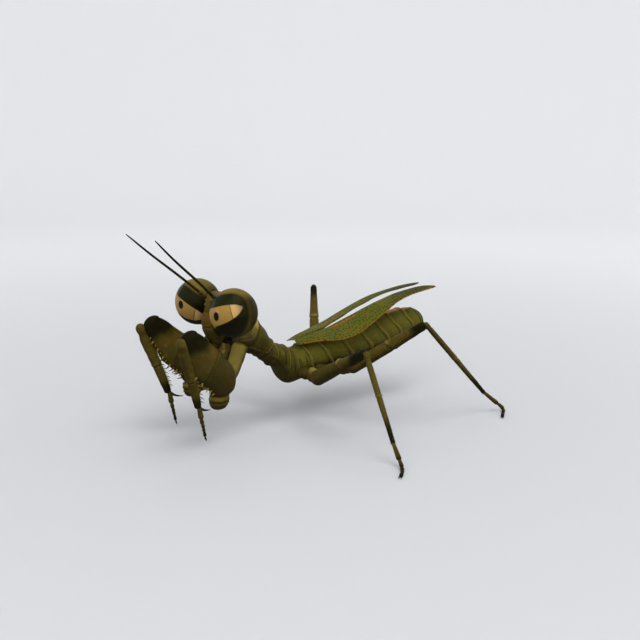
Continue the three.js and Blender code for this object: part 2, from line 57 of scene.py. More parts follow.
def along(values, u):
    # reads a list of values evenly spread over 0 to 1, half straight and half eased
    values = np.asarray(values, float)
    x = np.clip(u, 0, 1) * (len(values) - 1)
    i = np.minimum(np.floor(x).astype(int), len(values) - 2)
    f = x - i
    return values[i] + (values[i + 1] - values[i]) * (0.5 * f + 0.5 * f * f * (3 - 2 * f))


def unit(v):
    v = np.asarray(v, float)
    return v / np.maximum(np.linalg.norm(v, axis=-1, keepdims=True), 1e-12)


def grain(points, size, seed, layers=6):
    # a gentle irregular field between about -1 and 1, with features of the given size
    draw = np.random.default_rng(seed)
    total = 0
    for _ in range(layers):
        heading = unit(draw.normal(size=3))
        pitch = size * draw.uniform(0.7, 1.6)
        total = total + np.sin(points @ heading * (2 * math.pi / pitch) + draw.uniform(0, 6.28))
    return total / layers * 1.6


def mixed(a, b, f):
    # the point a share f of the way from a to b
    return [p + (q - p) * f for p, q in zip(a, b)]


class Route:
    # a smooth line through the points, followed by its length
    def __init__(self, points):
        points = np.array(points, float)
        first = 2 * points[0] - points[1]
        last = 2 * points[-1] - points[-2]
        self.knots = np.vstack([first, points, last])
        self.count = len(points) - 1
        self.steps = np.linspace(0, self.count, 80 * self.count + 1)
        spans = np.linalg.norm(np.diff(self.raw(self.steps), axis=0), axis=1)
        self.run = np.concatenate([[0], np.cumsum(spans)])
        self.length = self.run[-1]

    def raw(self, t):
        i = np.clip(np.floor(t).astype(int), 0, self.count - 1)
        w = (t - i)[:, None]
        p0, p1, p2, p3 = (self.knots[i + k] for k in range(4))
        pairs = ((p0, p1), (p1, p2), (p2, p3))
        d0, d1, d2 = (np.sqrt(np.linalg.norm(b - a, axis=1, keepdims=True)) for a, b in pairs)
        m1 = ((p1 - p0) / d0 - (p2 - p0) / (d0 + d1) + (p2 - p1) / d1) * d1
        m2 = ((p2 - p1) / d1 - (p3 - p1) / (d1 + d2) + (p3 - p2) / d2) * d1
        bend = -3 * p1 + 3 * p2 - 2 * m1 - m2
        return p1 + m1 * w + bend * w ** 2 + (2 * p1 - 2 * p2 + m1 + m2) * w ** 3

    def at(self, u):
        u = np.atleast_1d(np.asarray(u, float))
        return self.raw(np.interp(u * self.length, self.run, self.steps))

    def heading(self, u):
        u = np.atleast_1d(np.asarray(u, float))
        small = 0.002
        return unit(self.at(np.clip(u + small, 0, 1)) - self.at(np.clip(u - small, 0, 1)))


class Form:
    # rows of points, each row closed round itself; u runs along, turn runs round
    def __init__(self, points, u, turn, wrap=True):
        self.points = points
        self.u = u
        self.turn = turn
        self.wrap = wrap
        self.marks = {}

    def normals(self):
        lengthwise = np.gradient(self.points, axis=0)
        if self.wrap:
            around = np.roll(self.points, -1, 1) - np.roll(self.points, 1, 1)
        else:
            around = np.gradient(self.points, axis=1)
        normal = unit(np.cross(lengthwise, around))
        out = self.points - self.points.mean(1, keepdims=True)
        if (normal * out).sum() < 0:
            normal = -normal
        return normal

    def push(self, lift):
        # raises the skin by lift millimetres
        self.points = self.points + self.normals() * np.broadcast_to(lift, self.u.shape)[..., None]
        return self

    def mark(self, **values):
        for name, value in values.items():
            self.marks[name] = np.clip(np.broadcast_to(value, self.u.shape), -1000, 1000)
        return self


def frameAlong(route, u, up):
    tangent = route.heading(u)
    across = unit(np.cross(tangent, np.asarray(up, float)))
    return tangent, across, np.cross(across, tangent)


def tube(path, wide, high=None, up=(0, 0, 1), rows=60, sides=48, front=1.0, back=1.0, capRows=9):
    route = Route(path)
    high = wide if high is None else high
    frontCap = front * min(wide[0], high[0])
    backCap = back * min(wide[-1], high[-1])
    turn = np.linspace(0.08, 1, capRows) * math.pi / 2
    middle = np.linspace(frontCap, route.length - backCap, rows + 2)[1:-1]
    s = np.concatenate([frontCap * (1 - np.cos(turn)), middle,
                        route.length - backCap * (1 - np.cos(turn[::-1]))])
    k = np.concatenate([np.sin(turn), np.ones(rows), np.sin(turn[::-1])])
    u = s / route.length
    _, across, over = frameAlong(route, u, up)
    angle = np.linspace(0, 2 * math.pi, sides, endpoint=False)
    x = (k * along(wide, u))[:, None] * np.sin(angle)
    z = (k * along(high, u))[:, None] * np.cos(angle)
    centre = route.at(u)[:, None, :]
    points = centre + across[:, None, :] * x[..., None] + over[:, None, :] * z[..., None]
    return Form(points, u[:, None] + 0 * angle, angle + 0 * u[:, None])


def ballForm(centre, radii, rows=90, columns=140):
    height = np.linspace(-0.985, 0.985, rows)[:, None] * math.pi / 2
    turn = np.linspace(0, 2 * math.pi, columns, endpoint=False)[None, :]
    heading = np.stack([np.sin(turn) * np.cos(height), -np.cos(turn) * np.cos(height),
                        np.sin(height) + 0 * turn], -1)
    points = np.asarray(centre) + heading * np.asarray(radii)
    form = Form(points, height + 0 * turn, turn + 0 * height)
    form.heading = heading
    return form


markNames = ("dark", "pale", "warm", "under", "edge", "shade")


class Skin:
    # gathers forms into one mesh, with the marks that its material reads
    def __init__(self, names=markNames):
        self.names = names
        self.points = []
        self.quads = []
        self.corners = []
        self.marks = {name: [] for name in names}
        self.count = 0

    def add(self, form, side=1, ends="fan"):
        # side -1 mirrors the form; its ends close round a middle point, or row to row as a stitch
        if "shade" in self.names:
            # painted shade: surfaces that face the ground are a little darker in colour
            form.mark(shade=rise(-form.normals()[..., 2], -0.45, 0.75))
        points = form.points * np.array([side, 1, 1])
        rows, columns = points.shape[:2]
        index = np.arange(rows * columns).reshape(rows, columns)
        following = np.roll(index, -1, 1) if form.wrap else index[:, 1:]
        start = index if form.wrap else index[:, :-1]
        quads = np.stack([start[:-1], following[:-1], following[1:], start[1:]], -1).reshape(-1, 4)
        flat = points.reshape(-1, 3)
        triangles = np.zeros((0, 3), int)
        extra = {name: [] for name in self.names}
        if ends == "fan":
            tips = []
            for row, sign in ((0, 1), (rows - 1, -1)):
                tip = rows * columns + len(tips)
                tips.append(points[row].mean(0))
                ring = index[row]
                fan = np.stack([np.roll(ring, -1), ring, np.full(columns, tip)], -1)
                triangles = np.vstack([triangles, fan if sign > 0 else fan[:, ::-1]])
                for name in self.names:
                    mark = form.marks.get(name)
                    extra[name].append(0.0 if mark is None else float(np.mean(mark[row])))
            flat = np.vstack([flat, tips])
        elif ends == "stitch":
            half = columns // 2
            for row, sign in ((0, 1), (rows - 1, -1)):
                ring = index[row]
                a = np.arange(half - 1)
                cap = np.stack([ring[a + 1], ring[a], ring[columns - 1 - a], ring[columns - 2 - a]], -1)
                quads = np.vstack([quads, cap if sign > 0 else cap[:, ::-1]])
        split = np.vstack([quads[:, :3], quads[:, [0, 2, 3]], triangles])
        a, b, c = (flat[split[:, k]] for k in range(3))
        if (a * np.cross(b, c)).sum() < 0:
            quads = quads[:, ::-1]
            triangles = triangles[:, ::-1]
        self.points.append(flat)
        self.quads.append(quads + self.count)
        self.corners.append(triangles + self.count)
        for name in self.names:
            mark = form.marks.get(name, np.zeros((rows, columns)))
            self.marks[name].append(np.concatenate([mark.reshape(-1), extra[name]]))
        self.count += len(flat)
        return self

    def build(self, name, material, slot, replaced=None):
        # stands in for the node of the same name unless other nodes are given
        replaced = [name] if replaced is None else replaced
        name = name + "_skin"
        mesh = bpy.data.meshes.new(name)
        faces = np.vstack(self.quads).tolist() + np.vstack(self.corners).tolist()
        mesh.from_pydata(toFrame(np.vstack(self.points)).tolist(), [], faces)
        mesh.update()
        for markName in self.names:
            values = np.concatenate(self.marks[markName]).astype(np.float32)
            mesh.attributes.new(markName, "FLOAT", "POINT").data.foreach_set("value", values)
        mesh.polygons.foreach_set("use_smooth", np.ones(len(mesh.polygons), bool))
        mesh.materials.append(material)
        piece = bpy.data.objects.new(name, mesh)
        bpy.context.scene.collection.objects.link(piece)
        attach(piece, "root")
        if replaced:
            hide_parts(*replaced)
        return piece


class Val:
    # one socket of a material, so that sums on it add the nodes
    def __init__(self, tree, socket):
        self.tree = tree
        self.socket = socket

    def math(self, operation, other, swapped=False):
        node = self.tree.nodes.new("ShaderNodeMath")
        node.operation = operation
        for place, term in enumerate((other, self) if swapped else (self, other)):
            if isinstance(term, Val):
                self.tree.links.new(term.socket, node.inputs[place])
            else:
                node.inputs[place].default_value = float(term)
        return Val(self.tree, node.outputs[0])

    def __add__(self, other):
        return self.math("ADD", other)

    __radd__ = __add__

    def __sub__(self, other):
        return self.math("SUBTRACT", other)

    def __rsub__(self, other):
        return self.math("SUBTRACT", other, swapped=True)

    def __mul__(self, other):
        return self.math("MULTIPLY", other)

    __rmul__ = __mul__

    def atLeast(self, other):
        return self.math("MAXIMUM", other)


class Finish:
    # one procedural material in the making
    def __init__(self, name):
        self.material = bpy.data.materials.new(name)
        self.material.use_nodes = True
        self.tree = self.material.node_tree
        self.tree.nodes.clear()
        self.place = self.node("ShaderNodeTexCoord", out="Object")

    def node(self, kind, settings=None, values=None, out=0):
        node = self.tree.nodes.new(kind)
        for name, setting in (settings or {}).items():
            setattr(node, name, setting)
        for name, value in (values or {}).items():
            if isinstance(value, Val):
                self.tree.links.new(value.socket, node.inputs[name])
            else:
                node.inputs[name].default_value = value
        return Val(self.tree, node.outputs[out])

    def mark(self, name):
        return self.node("ShaderNodeAttribute", {"attribute_name": name}, out="Fac")

    def noise(self, scale, detail=3.0, rough=0.55, stretch=None):
        place = self.place
        if stretch:
            place = self.node("ShaderNodeVectorMath", {"operation": "MULTIPLY"}, {0: place, 1: stretch})
        return self.node("ShaderNodeTexNoise", None, {
            "Vector": place, "Scale": scale, "Detail": detail, "Roughness": rough})

    def cells(self, scale):
        return self.node("ShaderNodeTexVoronoi", None, {"Vector": self.place, "Scale": scale}, "Distance")

    def step(self, value, low, high):
        return self.node("ShaderNodeMapRange", {"interpolation_type": "SMOOTHSTEP"},
                         {"Value": value, "From Min": low, "From Max": high})

    def tint(self, first, second, amount):
        # mixes two colours, each a triple or a link
        def whole(colour):
            return colour if isinstance(colour, Val) else (*colour, 1)
        return self.node("ShaderNodeMix", {"data_type": "RGBA"},
                         {0: amount, 6: whole(first), 7: whole(second)}, out=2)

    def layers(self, look, colour, amounts):
        # lays the named tints of a look over the colour, one after another
        for name, amount in amounts:
            colour = self.tint(colour, look[name], amount)
        return colour

    def finish(self, colour, roughness, height=None, depth=0.00004, fixed=None):
        sockets = {"Base Color": colour, "Roughness": roughness}
        if height is not None:
            sockets["Normal"] = self.node("ShaderNodeBump", None, {
                "Height": height, "Strength": 1.0, "Distance": depth})
        sockets.update(fixed or {})
        shader = self.node("ShaderNodeBsdfPrincipled", None, sockets)
        output = self.tree.nodes.new("ShaderNodeOutputMaterial")
        self.tree.links.new(shader.socket, output.inputs["Surface"])
        return self.material


def olive(red, green, blue):
    # a colour given as it looks on a screen, 0 to 255, in the linear form that a material takes
    def linear(c):
        c = c / 255
        return c / 12.92 if c < 0.04045 else ((c + 0.055) / 1.055) ** 2.4
    return tuple(linear(c) for c in (red, green, blue))


def cuticle(name, look):
    # the patterned shell of insects; the marks of a mesh say where its tints lie
    f = Finish(name)
    broad = f.noise(look["patch"], 2.0)
    fine = f.noise(look["speck"], 4.0, 0.7)
    streak = f.noise(look["speck"] * 0.5, 3.0, 0.6, stretch=look["stretch"])
    dark, pale, warm, under, edge, shade = (f.mark(n) for n in markNames)
    ragged = (fine - 0.5) * 0.35
    # under and shadow lay painted shade on lower and ground-facing sides; crease darkens grooves and
    # seams, and behind folds and lips it is painted shadow; pale also carries painted highlights on fold
    # crests
    colour = f.layers(look, look["base"], (
        ("other", f.step(broad, 0.35, 0.68)),
        ("darkSpeck", f.step(fine, 0.56, 0.7) * look["speckAmount"]),
        ("paleSpeck", f.step(streak, 0.55, 0.75) * look["streakAmount"]),
        ("warm", f.step(warm + ragged, 0.1, 0.9) * look["warmAmount"]),
        ("under", f.step(under + ragged, 0.05, 0.95)),
        ("pale", f.step(pale + ragged, 0.15, 0.85)),
        ("dark", f.step(dark + ragged, 0.1, 0.9)),
        ("crease", f.step(edge, 0.1, 0.9)),
        ("shadow", shade * look["shadeAmount"])))
    height = fine * 0.6 + streak * 0.5 + f.step(f.cells(look["pits"]), 0.0, 0.5) * 0.7
    roughness = look["rough"] + (fine - 0.5) * 0.18 + dark * 0.12 + shade * 0.25
    return f.finish(colour, roughness, height, look["depth"],
                    {"Specular IOR Level": look["shine"], "Specular Tint": look["gleam"]})


# the under tint is painted shade for lower sides, the shadow tint painted shade for surfaces facing the
# ground
shellLook = {
    "base": olive(96, 84, 28), "other": olive(84, 75, 28), "darkSpeck": olive(52, 46, 15),
    "paleSpeck": olive(124, 112, 46), "warm": olive(112, 72, 26), "under": olive(52, 42, 17),
    "pale": olive(140, 124, 56), "dark": olive(30, 28, 12), "crease": olive(24, 20, 8),
    "shadow": olive(24, 20, 7), "shadeAmount": 0.72, "warmAmount": 0.6, "speckAmount": 0.4,
    "streakAmount": 0.35, "patch": 260.0, "speck": 1500.0, "stretch": (1.0, 0.35, 1.0),
    "pits": 3400.0, "rough": 0.5, "depth": 0.00006, "shine": 0.08, "gleam": (1.0, 0.82, 0.42, 1.0),
}
# on the belly the under tint is browner, partly its own underside tone and partly painted shade
bellyLook = {**shellLook,
             "base": olive(98, 90, 29), "other": olive(90, 86, 30), "pale": olive(116, 106, 42),
             "warm": olive(198, 142, 86), "under": olive(70, 50, 22), "patch": 180.0,
             "warmAmount": 0.95, "stretch": (1.0, 0.25, 1.0)}
legLook = {**shellLook,
           "base": olive(86, 74, 27), "other": olive(76, 66, 24), "pale": olive(150, 132, 64),
           "warm": olive(104, 62, 24), "dark": olive(24, 22, 7), "under": olive(52, 42, 16),
           "patch": 300.0, "shine": 0.05, "stretch": (0.8, 0.9, 1.0), "depth": 0.00004}
# the pale tint here serves the pale collar and the painted highlights on fold crests
middleLook = {**shellLook,
              "base": olive(78, 70, 24), "other": olive(68, 63, 21), "pale": olive(168, 146, 68),
              "under": olive(62, 53, 20), "darkSpeck": olive(44, 38, 13)}
feelerLook = {**shellLook,
              "base": olive(52, 43, 17), "other": olive(40, 33, 13), "pale": olive(88, 75, 34),
              "dark": olive(20, 17, 9), "rough": 0.45}
softLook = {**shellLook,
            "base": olive(73, 62, 23), "other": olive(60, 51, 20), "pale": olive(112, 97, 46),
            "under": olive(64, 54, 22), "rough": 0.55, "depth": 0.00012}

shellFinish = cuticle("shellCuticle", shellLook)
bellyFinish = cuticle("bellyCuticle", bellyLook)
legFinish = cuticle("legCuticle", legLook)
middleFinish = cuticle("middleCuticle", middleLook)
feelerFinish = cuticle("feelerCuticle", feelerLook)
softFinish = cuticle("jointSkin", softLook)
print("cuticle finishes made")


eyeShape = {
    "centre": (9.7, -34.7, 35.3), "radius": 6.3, "tall": 1.02,
    # the pale band across the front: (degrees outward from straight ahead, height of its edge)
    "bandTop": ((-78, -26), (-56, -9), (-37, 3), (-20, 12), (-8, 16), (2, 19), (12, 22), (28, 26.5),
                (48, 30), (67, 30.5), (83, 25)),
    "bandFoot": ((-78, -40), (-52, -45), (-18, -38), (-2, -30), (11, -24.5), (28, -18), (45, -10.4),
                 (59, -1.7), (71, 7), (80, 17), (84, 25)),
    "bandEnds": (-74, 83), "seamAt": 54, "seamSlant": 0.27, "seamMiddle": (12, -13),
    # both pupils look a little to the insect's left; the spot above them is a painted glint
    "pupilAt": (14, 0), "pupilHalf": (8.6, 10.5), "glintAt": (18, 11.0), "glintHalf": (6.0, 5.5),
    # the warm ring: (angle round the gaze from the top, degrees out from the gaze)
    "gaze": (5, -8),
    "ring": ((-180, 84), (-125, 93), (-86, 97), (-75, 91), (-63, 82), (-48, 73.5), (-29, 67.5),
             (-14, 64.5), (0, 66.5), (11, 73.4), (24, 86.8), (38, 98), (52, 102), (68, 101), (89, 97.6),
             (111, 91.3), (130, 82), (155, 81), (180, 84)),
}

headShape = {
    "top": 39.4, "foot": 24.6, "square": 0.62,
    "halfWidth": (2.7, 3.0, 3.9, 5.0, 5.6, 5.6, 5.2),
    "halfDepth": (2.3, 2.9, 3.8, 4.3, 4.0, 3.9, 3.9),
    # 1 is an oval, 2 a wedge that leaves the inner sides of the eyes free
    "wedge": (1.0, 1.0, 1.2, 1.6, 2.05, 1.95, 1.45),
    "middle": (-34.9, -34.9, -34.8, -34.5, -34.3, -34.2, -34.1),
    "eyeSeat": (9.7, -34.7, 35.2), "feelerRoot": (3.3, -36.4, 38.2),
    # the plate between the feelers and the lip below it: (half width, foot, top)
    "plate": (2.75, 30.4, 34.1), "lip": (2.9, 27.2, 30.05),
    "relief": {"plate": 0.13, "plateRim": 0.06, "lip": 0.07, "cheekLine": -0.28, "crown": -0.2,
               "sideFurrow": -0.16, "eyeRim": 0.34, "feelerRim": 0.42, "feelerPit": -0.3,
               "roughness": 0.05},
    "ocelli": ((0.0, -37.7, 36.3), (1.0, -36.8, 37.3), (-1.0, -36.8, 37.3)),
    "ocellus": 0.33,
}


def table(pairs, x):
    # eased reading of a short list of (place, value)
    places, values = zip(*pairs)
    shifts = (-6, -3, 0, 3, 6)
    return sum(np.interp(x + shift, places, values) for shift in shifts) / len(shifts)


def awayFrom(place, x, y, z):
    return np.sqrt((x - place[0]) ** 2 + (y - place[1]) ** 2 + (z - place[2]) ** 2)


def headForm():
    rows, columns = 150, 220
    level = np.sin(np.linspace(-0.985, 0.985, rows) * math.pi / 2)[:, None]
    turn = np.linspace(0, 2 * math.pi, columns, endpoint=False)[None, :]
    k = 0.5 + 0.5 * level
    full = np.sqrt(1 - level ** 2) ** headShape["square"]
    wedge = along(headShape["wedge"], k)
    across = np.sign(np.sin(turn)) * np.abs(np.sin(turn)) ** wedge
    forward = np.sign(np.cos(turn)) * np.abs(np.cos(turn)) ** np.where(np.cos(turn) > 0, wedge, 1.0)
    x = across * full * along(headShape["halfWidth"], k)
    y = -forward * full * along(headShape["halfDepth"], k) + along(headShape["middle"], k)
    z = headShape["foot"] + (headShape["top"] - headShape["foot"]) * k + 0 * turn
    form = Form(np.stack([x, y, z], -1), k + 0 * turn, turn + 0 * k)
    side = np.abs(x)
    ahead = rise(-y, 35.6, 37.4)
    toEye = awayFrom(headShape["eyeSeat"], side, y, z)
    toFeeler = awayFrom(headShape["feelerRoot"], side, y, z)
    # the plate is a pentagon with a raised rim
    half, foot, top = headShape["plate"]
    plateSides = np.minimum(half - 0.08 * (34 - z) - side, z - foot - 0.05 * side)
    plateEdge = np.minimum(plateSides, top - 0.22 * side - z)
    half, foot, top = headShape["lip"]
    lipEdge = np.minimum(half - 0.35 * (30.0 - z) - side, np.minimum(z - foot, top - z))
    cheek = side - (2.75 + 0.24 * (z - 26))
    furrow = side - 2.4 - 0.15 * (y + 34)
    field = {
        "plate": rise(plateEdge, -0.12, 0.22) * ahead,
        "plateRim": bell(plateEdge, 0.2, 0.16) * ahead,
        "lip": rise(lipEdge, -0.12, 0.25) * ahead,
        "cheekLine": bell(cheek, 0, 0.2) * rise(31.4 - z, 0, 1) * rise(z, 25, 26),
        "crown": bell(x, 0, 0.22) * rise(z, 37.6, 38.6) * rise(y, -37.6, -36.2),
        "sideFurrow": bell(furrow, 0, 0.2) * rise(z, 37.4, 38.4) * rise(y, -35.4, -34),
        "eyeRim": bell(toEye, 6.85, 0.3),
        "feelerRim": bell(toFeeler, 1.15, 0.26),
        "feelerPit": bell(toFeeler, 0, 0.6),
        "roughness": grain(form.points, 1.3, 4) * rise(toEye, 6.6, 7.4),
    }
    form.push(sum(height * field[name] for name, height in headShape["relief"].items()))
    gena = rise(side, 2.5, 3.2) * rise(32.5 - z, 0, 1.2)
    # painted shade: the face is a little darkened and the lower rear of the head darker
    form.mark(
        dark=0.9 * gena + 0.4 * bell(toFeeler, 1.6, 0.25) + 0.25 * ahead,
        pale=0.35 * field["plateRim"] + 0.3 * bell(toEye, 6.9, 0.2) * (1 - gena),
        warm=(0.5 * bell(toEye, 7.3, 0.45) + ahead * (0.35 + 0.3 * field["plate"])) * (1 - gena),
        under=rise(y, -34.5, -31.5) * 0.6 * rise(34 - z, 0, 4),
        edge=0.8 * field["cheekLine"] + 0.7 * field["crown"] + 0.6 * field["sideFurrow"]
        + (0.12 * bell(plateEdge, -0.12, 0.12) + 0.15 * bell(lipEdge, -0.12, 0.12)) * ahead,
    )
    return form


mouthShape = {
    "upperLip": {"path": ((0, -38.1, 27.3), (0, -37.7, 25.6), (0, -36.5, 24.1)), "wide": (1.5, 1.6, 1.05),
                 "high": (0.55, 0.5, 0.4), "up": (0, -1, 0), "rows": 30, "sides": 36},
    "jaw": {"path": ((2.5, -35.3, 27.2), (2.0, -36.0, 24.9), (0.95, -36.0, 23.7)),
            "wide": (1.25, 0.95, 0.5), "high": (1.5, 1.25, 0.6), "up": (0, -1, 0), "rows": 30,
            "sides": 28},
    "outerPalp": {"path": ((2.2, -33.9, 25.6), (2.6, -33.8, 23.6), (2.9, -35.4, 22.6),
                           (2.3, -36.9, 22.9)),
                  "wide": (0.5, 0.4, 0.42, 0.36, 0.4, 0.2), "rows": 60, "sides": 16},
    "innerPalp": {"path": ((1.2, -34.2, 25.4), (1.4, -34.6, 23.6), (1.3, -35.8, 22.9)),
                  "wide": (0.34, 0.32, 0.3, 0.16), "rows": 40, "sides": 12},
    # the joints of the palps lie at these shares of their length
    "outerJoints": (0.3, 0.56, 0.8), "innerJoints": (0.4, 0.7),
}


def headPieces():
    Skin().add(headForm()).build("head", shellFinish, "shell")
    bead = Skin()
    for spot in headShape["ocelli"]:
        form = ballForm(spot, [headShape["ocellus"]] * 3, 14, 20)
        bead.add(form.mark(warm=1.0, pale=0.4))
    bead.build("ocelli", beadFinish, "eye", [])
    for side, sideName in ((1, "left"), (-1, "right")):
        eyePiece(side, sideName)
        feelerPiece(side, sideName)
        mouthPieces(side, sideName)
    upperLip = tube(**mouthShape["upperLip"])
    upperLip.push(-0.1 * bell(upperLip.u, 0.42, 0.05) + 0.03 * grain(upperLip.points, 0.9, 8))
    upperLip.mark(pale=0.4 * bell(upperLip.u, 0.95, 0.12), edge=0.7 * bell(upperLip.u, 0.42, 0.04))
    Skin().add(upperLip).build("upperLip", shellFinish, "shell", ["labrum"])


eyeMarks = ("band", "ring", "pupil", "spot", "seam", "outward", "low", "back")


def eyePiece(side, sideName):
    centre = np.array(eyeShape["centre"]) * (side, 1, 1)
    form = ballForm(centre, eyeShape["radius"] * np.array((1, 1, eyeShape["tall"])), 190, 300)
    out = form.heading[..., 0] * side
    ahead = -form.heading[..., 1]
    high = form.heading[..., 2]
    turn = np.degrees(np.arctan2(out, ahead))
    height = np.degrees(np.arcsin(np.clip(high, -1, 1)))
    start, end = eyeShape["bandEnds"]
    band = np.minimum(table(eyeShape["bandTop"], turn) - height,
                      height - table(eyeShape["bandFoot"], turn))
    band = np.minimum(band, np.minimum(turn - start, end - turn))
    gazeTurn, gazeHeight = np.radians(eyeShape["gaze"])
    level = math.cos(gazeHeight)
    gaze = np.array([math.sin(gazeTurn) * level, -math.cos(gazeTurn) * level, math.sin(gazeHeight)])
    sideways = unit(np.cross(gaze, (0, 0, -1)))
    sideways = sideways * np.sign(sideways[0])
    upward = np.cross(gaze, sideways)
    upward = upward * np.sign(upward[2])
    own = form.heading * (side, 1, 1)
    away = np.degrees(np.arccos(np.clip(own @ gaze, -1, 1)))
    polar = np.degrees(np.arctan2(own @ sideways, own @ upward))
    ring = table(eyeShape["ring"], polar) - away
    worldTurn = turn * side

    def oval(at, half):
        across = (worldTurn - at[0]) * np.cos(np.radians(height)) / half[0]
        return np.sqrt(across ** 2 + ((height - at[1]) / half[1]) ** 2)

    pupil = oval(eyeShape["pupilAt"], eyeShape["pupilHalf"])
    spot = oval(eyeShape["glintAt"], eyeShape["glintHalf"])
    # the seam of the band slants, and every turn beyond it is measured along the slant
    seamHeight = height - np.where(turn > 0, *eyeShape["seamMiddle"])
    outward = np.abs(turn) + eyeShape["seamSlant"] * seamHeight * np.sign(turn)
    seam = np.abs(outward - eyeShape["seamAt"]) + 500 * (band < -4)
    form.push(0.05 * bell(ring, 0, 2.5) - 0.05 * bell(band, 0, 1.4) * (ring > 3)
              - 0.04 * bell(seam, 0, 1.2) * (band > 0))
    # painted shade: the rear of each eye and its lower part are darkened in the colour
    rearShade = rise(-ahead, -0.4, 0.4) * (1 - 0.9 * rise(high, 0.55, 0.92))
    form.mark(band=band, ring=ring, pupil=pupil, spot=spot, seam=seam, outward=outward,
              low=rise(-high, -0.5, 0.75), back=rearShade)
    Skin(eyeMarks).add(form).build(f"eye_{sideName}", compoundEyeFinish, "eye")


# the spot tint is a painted glint, the shadow tint and the low inner tint are painted shade, the lightest
# band tint is a painted highlight beyond the seam and the band's end tint painted shade towards its outer
# end
eyeLook = {
    "shell": olive(116, 99, 31), "shellOther": olive(100, 86, 28), "ring": olive(118, 72, 26),
    "inner": olive(31, 32, 14), "innerShade": olive(9, 8, 3), "band": olive(163, 131, 63),
    "bandWarm": olive(173, 126, 76), "bandHighlight": olive(216, 174, 114), "pupil": olive(12, 9, 6),
    "bandEdgeShade": olive(112, 94, 70), "spot": olive(196, 140, 96), "line": olive(62, 46, 20),
    "shadow": olive(16, 14, 5), "facet": 4200.0, "gleam": (1.0, 0.9, 0.5, 1.0),
}


def makeEyeFinish():
    f = Finish("compoundEye")
    look = eyeLook
    fine = f.noise(1300.0, 4.0, 0.7)
    soft = f.noise(330.0, 2.0)
    band, ring, pupil, spot, seam, outward, low, back = (f.mark(n) for n in eyeMarks)
    blurred = ring + (fine - 0.5) * 2.0
    inside = f.step(blurred, -1.5, 9.0)
    ringLine = f.step(blurred, -3.5, -0.5) * (1 - f.step(blurred, 0.5, 5.0))
    onBand = f.step(band, -0.6, 0.6)
    # the lower part of the dark inner zone is painted shade
    inner = f.tint(look["inner"], look["innerShade"], f.step(low + (soft - 0.5) * 0.4, 0.0, 0.5))
    shell = f.layers(look, look["shell"], (
        ("shellOther", f.step(soft, 0.35, 0.65)),
        ("line", f.step(fine, 0.58, 0.72) * 0.4)))
    pale = f.layers(look, look["band"], (
        ("bandWarm", f.step(soft, 0.42, 0.7) * 0.7),
        # painted highlight beyond the seam, painted shade towards the band's outer end, and a painted
        # glint by the pupil
        ("bandHighlight", f.step(outward, 53.0, 55.0) * 0.75),
        ("bandEdgeShade", f.step(outward, 62.0, 86.0) * 0.7),
        ("line", f.step(fine, 0.6, 0.75) * 0.25),
        ("spot", (1 - f.step(spot, 0.55, 1.1)) * 0.8),
        ("line", (1 - f.step(seam, 0.5, 1.7)) * 0.75),
        ("pupil", 1 - f.step(pupil, 0.92, 1.06))))
    colour = f.layers(look, f.tint(shell, inner, inside), (
        ("ring", ringLine * 0.6),
        ("line", f.step(band, -2.2, -0.6) * 0.6)))
    # painted shade on the lower part and the rear of the eye
    shadow = (low * (0.8 - onBand * 0.55)).atLeast(back * 0.88)
    colour = f.tint(f.tint(colour, pale, onBand), look["shadow"], shadow)
    roughness = 0.26 + (fine - 0.5) * 0.06 + (1 - inside) * 0.2 + low * 0.4
    return f.finish(colour, roughness, f.cells(look["facet"]), 0.000008,
                    {"Specular IOR Level": 0.075, "Specular Tint": look["gleam"]})


compoundEyeFinish = makeEyeFinish()


def makeBeadFinish():
    f = Finish("ocellusBead")
    fine = f.noise(2400.0)
    colour = f.tint(olive(104, 80, 32), olive(74, 56, 22), f.step(fine, 0.4, 0.65))
    return f.finish(colour, 0.2 + fine * 0.1, fine, 0.00001, {"Specular IOR Level": 0.4})


beadFinish = makeBeadFinish()

feelerShape = {"tip": (8.5, -55.6, 55.5), "rings": 74,
               "wide": (0.6, 0.58, 0.4, 0.37, 0.36, 0.36, 0.35, 0.34, 0.33, 0.32, 0.31, 0.3, 0.28,
                        0.26, 0.23, 0.19, 0.12)}


def feelerPiece(side, sideName):
    root = np.array(headShape["feelerRoot"])
    tip = np.array(feelerShape["tip"])
    path = [mixed(root, tip, -0.04), mixed(root, tip, 0.33) + np.array([0.0, -0.05, 0.05]),
            mixed(root, tip, 0.7) + np.array([-0.1, -0.15, -0.1]), tip]
    form = tube(path, feelerShape["wide"], rows=460, sides=14, up=(1, 0, 0))
    beat = np.abs(np.sin(form.u * math.pi * feelerShape["rings"]))
    whip = rise(form.u, 0.09, 0.12)
    joint = bell(form.u, 0.062, 0.006) + bell(form.u, 0.1, 0.005)
    form.push(whip * (0.045 * beat ** 0.5 - 0.03) - 0.16 * joint)
    form.mark(dark=0.45 * whip + 0.4 * rise(form.u, 0.3, 1) + 0.6 * joint,
              pale=whip * 0.4 * rise(0.35 - beat, 0, 0.3) + 0.5 * (1 - whip),
              edge=0.7 * joint + 0.5 * whip * rise(0.16 - beat, 0, 0.16))
    Skin().add(form, side).build(f"antenna_{sideName}", feelerFinish, "feeler")


